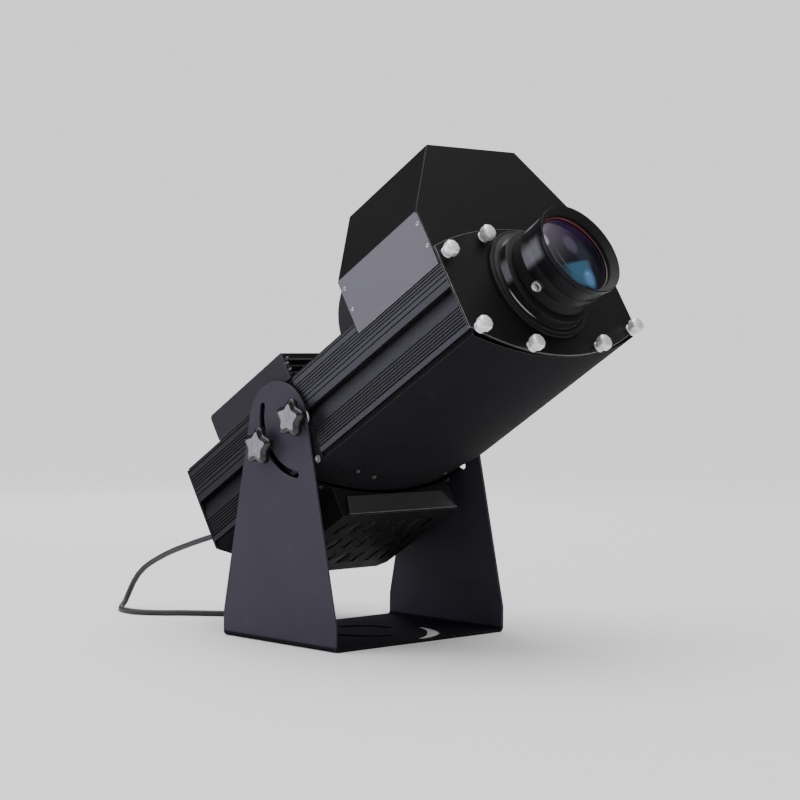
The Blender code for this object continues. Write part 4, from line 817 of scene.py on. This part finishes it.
def softenEdges(name, width):
    # welds the node's loose triangles and gives its edges a small rubbed radius
    node = nodes[name]
    weld = node.modifiers.new("weld", "WELD")
    weld.merge_threshold = 0.00001
    bevel = node.modifiers.new("edge", "BEVEL")
    bevel.width = width
    bevel.segments = 2
    bevel.limit_method = "ANGLE"
    bevel.angle_limit = radians(40)
    bevel.use_clamp_overlap = True
    bevel.material = 1
    bevel.harden_normals = False


coatings = (
    # nodes, finish, and for edges with wear and a painted highlight their finish and radius
    ("front_hood hood_back_cover rear_top_plate front_top_plate", "hoodCoat", "hoodCoatEdge", 0.0004),
    ("rear_hood", "hoodCoat", "hoodCoatEdge", 0.00025),
    # the front plate takes the panel's brighter edge coat: a painted highlight line along its edges
    ("front_plate", "hoodCoat", "panelCoatEdge", 0.0005),
    ("front_bottom_shell rear_bottom_shell mid_frame rear_end_plate",
     "bellyCoat", "bellyCoatEdge", 0.0004),
    ("bottom_housing", "housingCoat", "housingCoatEdge", 0.0004),
    ("housing_front_panel", "panelCoat", "panelCoatEdge", 0.0007),
    ("hood_side_plate_left hood_side_plate_right", "plateCoat", "plateCoatEdge", 0.00035),
    ("rear_side_plate_left rear_side_plate_right", "rearPlateCoat", "rearPlateCoatEdge", 0.00035),
    ("yoke_bracket", "yokeCoat", "yokeCoatEdge", 0.0005),
    ("front_extrusion_left front_extrusion_right", "ribs"),
    ("rear_extrusion_left rear_extrusion_right", "rearRibs"),
    ("condenser_holder led_heat_sink driver_box wheel_bracket_rear wheel_bracket_front "
     "wave_motor_rear wave_motor_front", "millAluminium"),
    ("focus_barrel", "turnedBlack"),
    ("front_gasket", "gasketRubber"),
    ("cooling_fan fan_rotor", "fanPlastic"),
    ("pivot_washer_left pivot_washer_right", "whiteNylon"),
    ("led_module", "boardGreen"),
    ("condenser_lens rear_lens", "innerGlass"),
    ("wave_wheel_rear wave_wheel_front", "waveGlass"),
)


def dressFrame():
    for names, finish, *edge in coatings:
        for name in names.split():
            mesh = nodes[name].data
            mesh.materials.clear()
            mesh.materials.append(coats[finish])
            if edge:
                mesh.materials.append(coats[edge[0]])
                softenEdges(name, edge[1])


lens = {
    "height": 0.0055, "tail": (0.0455, 0.266), "bore": 0.0423, "flange": 0.070, "flangeBack": 0.2823,
    "flangeFront": 0.2863, "step": 0.0659, "collar": 0.0610, "collarBack": 0.2903, "cone": 0.0602,
    "coneEnd": 0.301, "neck": 0.0500, "sleeveStart": 0.304, "sleeve": 0.0540, "seam": 0.3185,
    "sleeveEnd": 0.3335, "bellBack": 0.3338, "bellFront": 0.357, "rim": 0.0562, "barrel": 0.038,
    "seat": 0.3398, "glassBore": 0.0488, "ledge": 0.3508, "traps": 6,
}


def lensSeat():
    place = Matrix.Translation(headPoint(0, 0, lens["height"]))
    return place @ Matrix((across, lift, beam)).transposed().to_4x4()


def makeLensMount():
    # flange, stepped collar with a thin raised lip, a deep dark groove, then the fixed half of the tube
    s = lens
    front, back, lip, end = s["flangeFront"], s["flangeBack"], s["collarBack"], s["coneEnd"]
    cone, neck, sleeve = s["cone"], s["neck"], s["sleeve"]
    profile = [
        s["tail"], (s["tail"][0], back), (s["flange"], back, 0.0004), (s["flange"], front, 0.0008),
        (s["step"], front, 0.0003), (s["step"], front + 0.0018, 0.0008),
        (s["collar"] + 0.0008, lip - 0.0008, 0.0005), (s["collar"] + 0.0008, lip + 0.0006, 0.0003),
        (s["collar"], lip + 0.0009, 0.0002), (cone, end - 0.0006, 0.0008), (cone - 0.0012, end, 0.0004),
        (neck + 0.0008, end + 0.0006, 0.0004), (neck, end + 0.0010, 0.0003),
        (neck, s["sleeveStart"] - 0.0003, 0.0003), (sleeve - 0.0010, s["sleeveStart"], 0.0006),
        (sleeve - 0.0006, s["seam"] - 0.0006, 0.0002), (sleeve, s["seam"], 0.0002),
        (sleeve + 0.0002, s["sleeveEnd"], 0.0003), (s["bore"], s["sleeveEnd"], 0.0003),
        (s["bore"], s["tail"][1]),
    ]
    shape = spinProfile(profile, 160)
    # the back half of the tube and its groove are duller than the polished rest
    dull = [face for face in shape.faces
            if end - 0.0002 < face.calc_center_median().z < s["seam"] - 0.0005
            or face.calc_center_median().z < lip - 0.0016]
    coatFaces(dull)
    shape.transform(lensSeat())
    finishPiece("lensMount", shape, "turnedBlack dullBlack", "head", "lens_black", "lens_mount")


def makeLensHood():
    # the sliding front of the tube: smooth outside, with a slight lip, and light traps inside its mouth
    s = lens
    back, front, rim = s["bellBack"], s["bellFront"], s["rim"]
    outer = [(rim, front, 0.0007), (rim, front - 0.0052, 0.0008),
             (rim - 0.0009, front - 0.0066, 0.0010), (s["sleeve"] + 0.0002, back, 0.0002)]
    bore, ledge = s["glassBore"], s["ledge"] - 0.0012
    inner = [(s["barrel"], back), (s["barrel"], s["seat"]), (bore, s["seat"]), (bore, ledge)]
    for index in range(s["traps"]):
        share = (index + 0.5) / s["traps"]
        radius = bore + (rim - 0.0014 - bore) * share
        length = ledge + (front - 0.0004 - ledge) * share
        inner += [(radius, length - 0.0003), (radius, length + 0.0003)]
    profile = outer + inner + [(rim - 0.0012, front, 0.0004)]
    shape = spinProfile(profile, 160)
    for face in shape.faces:
        middle = face.calc_center_median()
        outwards = face.normal.xy.dot(middle.xy) > 0.3 * middle.xy.length
        if s["seat"] < middle.z < front - 0.0004 and not outwards:
            face.material_index = 1
    shape.transform(lensSeat())
    finishPiece("lensHood", shape, "turnedBlack dullBlack", "focus", "lens_black", "lens_hood")


trim = {"outer": 0.0486, "inner": 0.0470, "back": 0.3440, "front": 0.3456}


def makeTrimRing():
    t = trim
    profile = [(t["outer"], t["back"], 0.0002), (t["outer"], t["front"], 0.0003),
               (t["inner"] + 0.0009, t["front"], 0.0006), (t["inner"], t["back"] + 0.0006, 0.0004),
               (t["inner"] + 0.0002, t["back"], 0.0002)]
    shape = spinProfile(profile, 128)
    shape.transform(lensSeat())
    finishPiece("lensTrimRing", shape, "redRing", "focus", "red", "lens_trim_ring")


frontGlass = {"radius": 0.0482, "edge": 0.3432, "sag": 0.0042, "back": 0.3401}


def makeFrontLens():
    radius, edge, sag, back = frontGlass.values()
    profile = [(radius * step / 20, edge + sag * (1 - (step / 20) ** 2)) for step in range(21)]
    profile += [(radius, back), (0, back)]
    shape = spinProfile(profile, 96, closed=False)
    shape.transform(lensSeat())
    finishPiece("frontLens", shape, "coatedGlass", "focus", "glass", "front_lens")


screw = {"along": 0.319, "angle": 27.0, "seat": 0.0544, "radius": 0.0060, "height": 0.0055,
         "shank": 0.002, "teeth": 40, "notch": 0.955}


def makeFocusScrew():
    # a round thumb screw with a milled rim and a shallow dished face
    angle = radians(screw["angle"])
    out = across * -cos(angle) + lift * -sin(angle)
    centre = headPoint(screw["along"], 0, lens["height"])
    shape = prism(screw["teeth"], screw["radius"], 0, screw["height"])
    for vert in shape.verts:
        turn = atan2(vert.co.y, vert.co.x)
        if round(turn / (2 * pi) * screw["teeth"]) % 2:
            squeeze(vert, screw["notch"])
    top = [face for face in shape.faces if face.normal.z > 0.9]
    stepFaces(shape, top, 0.0011, 0.0004)
    stepFaces(shape, top, 0.0015, -0.0006)
    joinInto(shape, prism(16, screw["shank"], -0.0110, 0))
    shape.transform(seat(centre + out * screw["seat"], out, beam))
    finishPiece("focusScrew", shape, "screwSteel", "focus_screw", "dull_metal", "focus_screw")


knob = {"radius": 0.0195, "lobe": 0.003, "lobes": 5, "hub": 0.011, "hubHeight": 0.007, "head": 0.012,
        "seat": 0.1403, "stud": 0.004, "studLength": 0.0174, "clamp": -0.0655,
        "dome": 0.0014, "face": 0.85, "round": 0.0040}


def lobedDisc(bottom, top, steps=100):
    shape = bmesh.new()
    ops.create_circle(shape, cap_ends=True, segments=steps, radius=knob["radius"],
                            matrix=Matrix.Translation((0, 0, bottom)))
    for vert in shape.verts:
        turn = atan2(vert.co.y, vert.co.x)
        squeeze(vert, 1 + knob["lobe"] * cos(knob["lobes"] * turn) / knob["radius"])
    grown = ops.extrude_face_region(shape, geom=list(shape.faces))
    raised = [item for item in grown["geom"] if isinstance(item, bmesh.types.BMVert)]
    ops.translate(shape, verts=raised, vec=(0, 0, top - bottom))
    ops.recalc_face_normals(shape, faces=shape.faces)
    return shape


def makeKnob(name, along, side):
    low, high = knob["hubHeight"], knob["hubHeight"] + knob["head"]
    shape = lobedDisc(low, high - knob["dome"])
    caps = [edge for edge in shape.edges if edge.is_manifold and edge.calc_face_angle(0) > 1.2]
    ops.bevel(shape, geom=caps, offset=knob["round"], affect="EDGES", segments=6, profile=0.5,
                    material=-1)
    top = [face for face in shape.faces
           if face.normal.z > 0.99 and face.calc_center_median().z > high - knob["dome"] - 0.0001]
    # the lobes slope up to a smaller face, painted pale as a highlight, with a fine step round it
    stepFaces(shape, top, 0.0002, knob["dome"] - 0.0003)
    inner = list({vert for face in top for vert in face.verts})
    ops.scale(shape, verts=inner, vec=(knob["face"], knob["face"], 1))
    stepFaces(shape, top, 0.0003, 0.0003)
    coatFaces(top)
    hub = [(knob["stud"], low), (knob["hub"], low), (knob["hub"], 0.0018, 0.0006),
           (knob["hub"] - 0.0016, 0, 0.0005), (knob["stud"], 0)]
    joinInto(shape, spinProfile(hub, 48))
    stud = prism(24, knob["stud"], -knob["studLength"], low)
    coatFaces(stud.faces, 2)
    joinInto(shape, stud)
    axis = Vector((side, 0, 0))
    place = headPoint(along, 0, 0) + axis * knob["seat"]
    shape.transform(seat(place, axis, beam))
    title = name.replace("_k", "K").replace("_l", "L").replace("_r", "R")
    finishPiece(title, shape, "knobPlastic knobFace screwSteel", name, "knob", name)


nut = {"plate": 0.2823, "neck": 0.004, "neckRadius": 0.0055, "bore": 0.0025, "radius": 0.0092,
       "height": 0.0115, "chamfer": 0.0022,
       "places": ((0.1262, 0.0429), (0.056, 0.0660), (0.1262, -0.0519), (0.056, -0.0750))}


def makeThumbNut(number, x, height):
    # an octagonal head with chamfered ends, on a round neck with a small collar
    low, wide, bore = nut["neck"], nut["neckRadius"], nut["bore"]
    shape = prism(8, nut["radius"], low, low + nut["height"])
    rims = [edge for edge in shape.edges if abs(edge.verts[0].co.z - edge.verts[1].co.z) < 0.0001]
    ops.bevel(shape, geom=rims, offset=nut["chamfer"], affect="EDGES", segments=1, profile=0.5,
                    material=-1)
    ops.rotate(shape, verts=shape.verts, cent=(0, 0, 0),
                     matrix=Matrix.Rotation(radians(22.5), 3, "Z"))
    bevelEdges(shape, 0.0005, 2, 15)
    neck = [(bore, low + 0.001), (wide, low + 0.001), (wide, 0.0012, 0.0002),
            (wide + 0.0012, 0.0010, 0.0002), (wide + 0.0012, 0, 0.0003), (bore, 0)]
    joinInto(shape, spinProfile(neck, 32))
    shape.transform(seat(headPoint(nut["plate"], x, height), beam, lift))
    finishPiece(f"thumbNut{number}", shape, "brightMetal", "head", "bright_metal",
                f"thumb_nut_{number}")


def makeThumbNuts():
    # the nodes count down the left side from the top, then down the right side
    number = 0
    for side in (-1, 1):
        for x, height in nut["places"]:
            number += 1
            makeThumbNut(number, side * x, height)


def panScrew(radius, height):
    # a domed head with a cross recess drawn as two near-black bars: painted shade
    profile = [(0, height), (radius * 0.45, height * 0.96), (radius * 0.8, height * 0.72),
               (radius, height * 0.28), (radius, 0), (0, 0)]
    shape = spinProfile(profile, 20, closed=False)
    size = Matrix.Diagonal((radius * 1.1, radius * 0.22, height * 0.5, 1))
    for turn in (0, 90):
        bar = bmesh.new()
        turned = Matrix.Rotation(radians(turn), 4, "Z")
        ops.create_cube(bar, size=1, matrix=Matrix.Translation((0, 0, height * 0.80)) @ turned @ size)
        # the bars take the black plastic coat: painted shade in the recess
        coatFaces(bar.faces)
        joinInto(shape, bar)
    return shape


plateScrews = {"radius": 0.0024, "height": 0.0014, "x": 0.1358,
               "at": ((0.2700, 0.0884), (0.2708, 0.0600), (0.1365, 0.0889), (0.1357, 0.0626))}

frameBolts = (
    # along the beam, across, height, normal across, normal up, radius
    (-0.0027, -0.1340, -0.0526, -1.0, 0.0, 0.0034), (-0.0027, 0.1340, -0.0526, 1.0, 0.0, 0.0034),
    (-0.0031, -0.0796, -0.0710, -0.25, -0.97, 0.0020),
    (-0.0088, -0.0520, -0.0764, -0.14, -0.99, 0.0023),
    (-0.0186, 0.0781, -0.0714, 0.25, -0.97, 0.0020), (-0.0435, -0.1053, -0.0682, -0.31, -0.95, 0.0019),
    (-0.0501, 0.1134, -0.0655, 0.31, -0.95, 0.0019),
)


def makePlateScrews():
    for side, label in ((-1, "left"), (1, "right")):
        shape = bmesh.new()
        for along, height in plateScrews["at"]:
            one = panScrew(plateScrews["radius"], plateScrews["height"])
            place = headPoint(along, side * plateScrews["x"], height)
            one.transform(seat(place, (side, 0, 0), beam + lift * 0.6))
            joinInto(shape, one)
        makeObject(f"hoodPlateScrews_{label}", shape, "screwSteel knobPlastic", "head")


def makeFrameBolts():
    # hexagon heads on pressed washers, where the shells meet the frame in the middle
    shape = bmesh.new()
    for along, x, height, sideways, upwards, size in frameBolts:
        bolt = prism(6, size, size * 0.25, size * 0.75, size * 0.94)
        bevelEdges(bolt, size * 0.08, 2, 25)
        top = [face for face in bolt.faces if face.normal.z > 0.9 and face.calc_area() > size * size]
        stepFaces(bolt, top, size * 0.22, size * 0.08)
        washer = ((0.4, 0), (1.32, 0), (1.32, 0.2), (1.2, 0.34), (0.4, 0.34))
        joinInto(bolt, spinProfile([(size * wide, size * high) for wide, high in washer], 32))
        out = across * sideways + lift * upwards
        bolt.transform(seat(headPoint(along, x, height), out, beam))
        joinInto(shape, bolt)
    makeObject("frameBolts", shape, "boltSteel", "head")


panelLip = {"size": (0.1786, 0.0020, 0.0022), "at": (-0.0362, 0.0048, -0.1084), "round": 0.0007}


def makePanelLip():
    # the bright folded lip along the bottom of the housing's front panel
    shape = bmesh.new()
    ops.create_cube(shape, size=1, matrix=Matrix.Diagonal((*panelLip["size"], 1)))
    bevelEdges(shape, panelLip["round"], 3, 40)
    shape.transform(seat(headPoint(*panelLip["at"]), beam, lift) @ Matrix.Rotation(pi, 4, "Z"))
    makeObject("panelLip", shape, "plateCoat", "head")


louvreTabs = {"radius": 0.0019, "stretch": (1.3, 1.0, 0.7),
              "at": ((0.0056, -0.1313, 0.0698), (0.0045, -0.1270, 0.0772), (0.0060, -0.1308, 0.0615))}


def makeLouvreTabs():
    # small rounded ends of the louvre strips, at the rear hood's front edge
    shape = bmesh.new()
    for place in louvreTabs["at"]:
        tab = bmesh.new()
        ops.create_uvsphere(tab, u_segments=16, v_segments=10, radius=louvreTabs["radius"])
        ops.scale(tab, verts=tab.verts, vec=louvreTabs["stretch"])
        tab.transform(seat(headPoint(*place), across * -0.7 + beam * 0.7, lift))
        joinInto(shape, tab)
    makeObject("louvreTabs", shape, "plateCoat", "head")


print("shapes ready")


def mixCoats():
    for mixed, rows in ((sheetCoat, finishes), (barMetal, metals), (mouldedPlastic, plastics)):
        coats.update({name: mixed(name) for name in rows})
    coats.update({f"{name}Edge": wornEdge(name) for name in finishes})
    for mixed in (turnedBlack, dullBlack, coatedGlass, knobFace, waveGlass, innerGlass, paleFloor):
        coats[mixed.__name__] = mixed(mixed.__name__)
    # the rear extrusions get a darker copy of the same anodising: painted shade
    coats.update({"ribs": anodisedRibs("ribbedAnodised"), "rearRibs": anodisedRibs("rearRibs", 0.5)})


def buildAll():
    mixCoats()
    makeCamera()
    makeCord()
    makeGland()
    print("camera and cord ready")
    makeStudio()
    dressFrame()
    print("frame dressed")
    makeLensMount()
    makeLensHood()
    makeTrimRing()
    makeFrontLens()
    makeFocusScrew()
    print("lens ready")
    for side, label in ((-1, "left"), (1, "right")):
        makeKnob(f"pivot_knob_{label}", 0.0, side)
        makeKnob(f"clamp_knob_{label}", knob["clamp"], side)
    makeThumbNuts()
    makePlateScrews()
    makeFrameBolts()
    makePanelLip()
    makeLouvreTabs()
    print("knobs, nuts and screws ready")


buildAll()
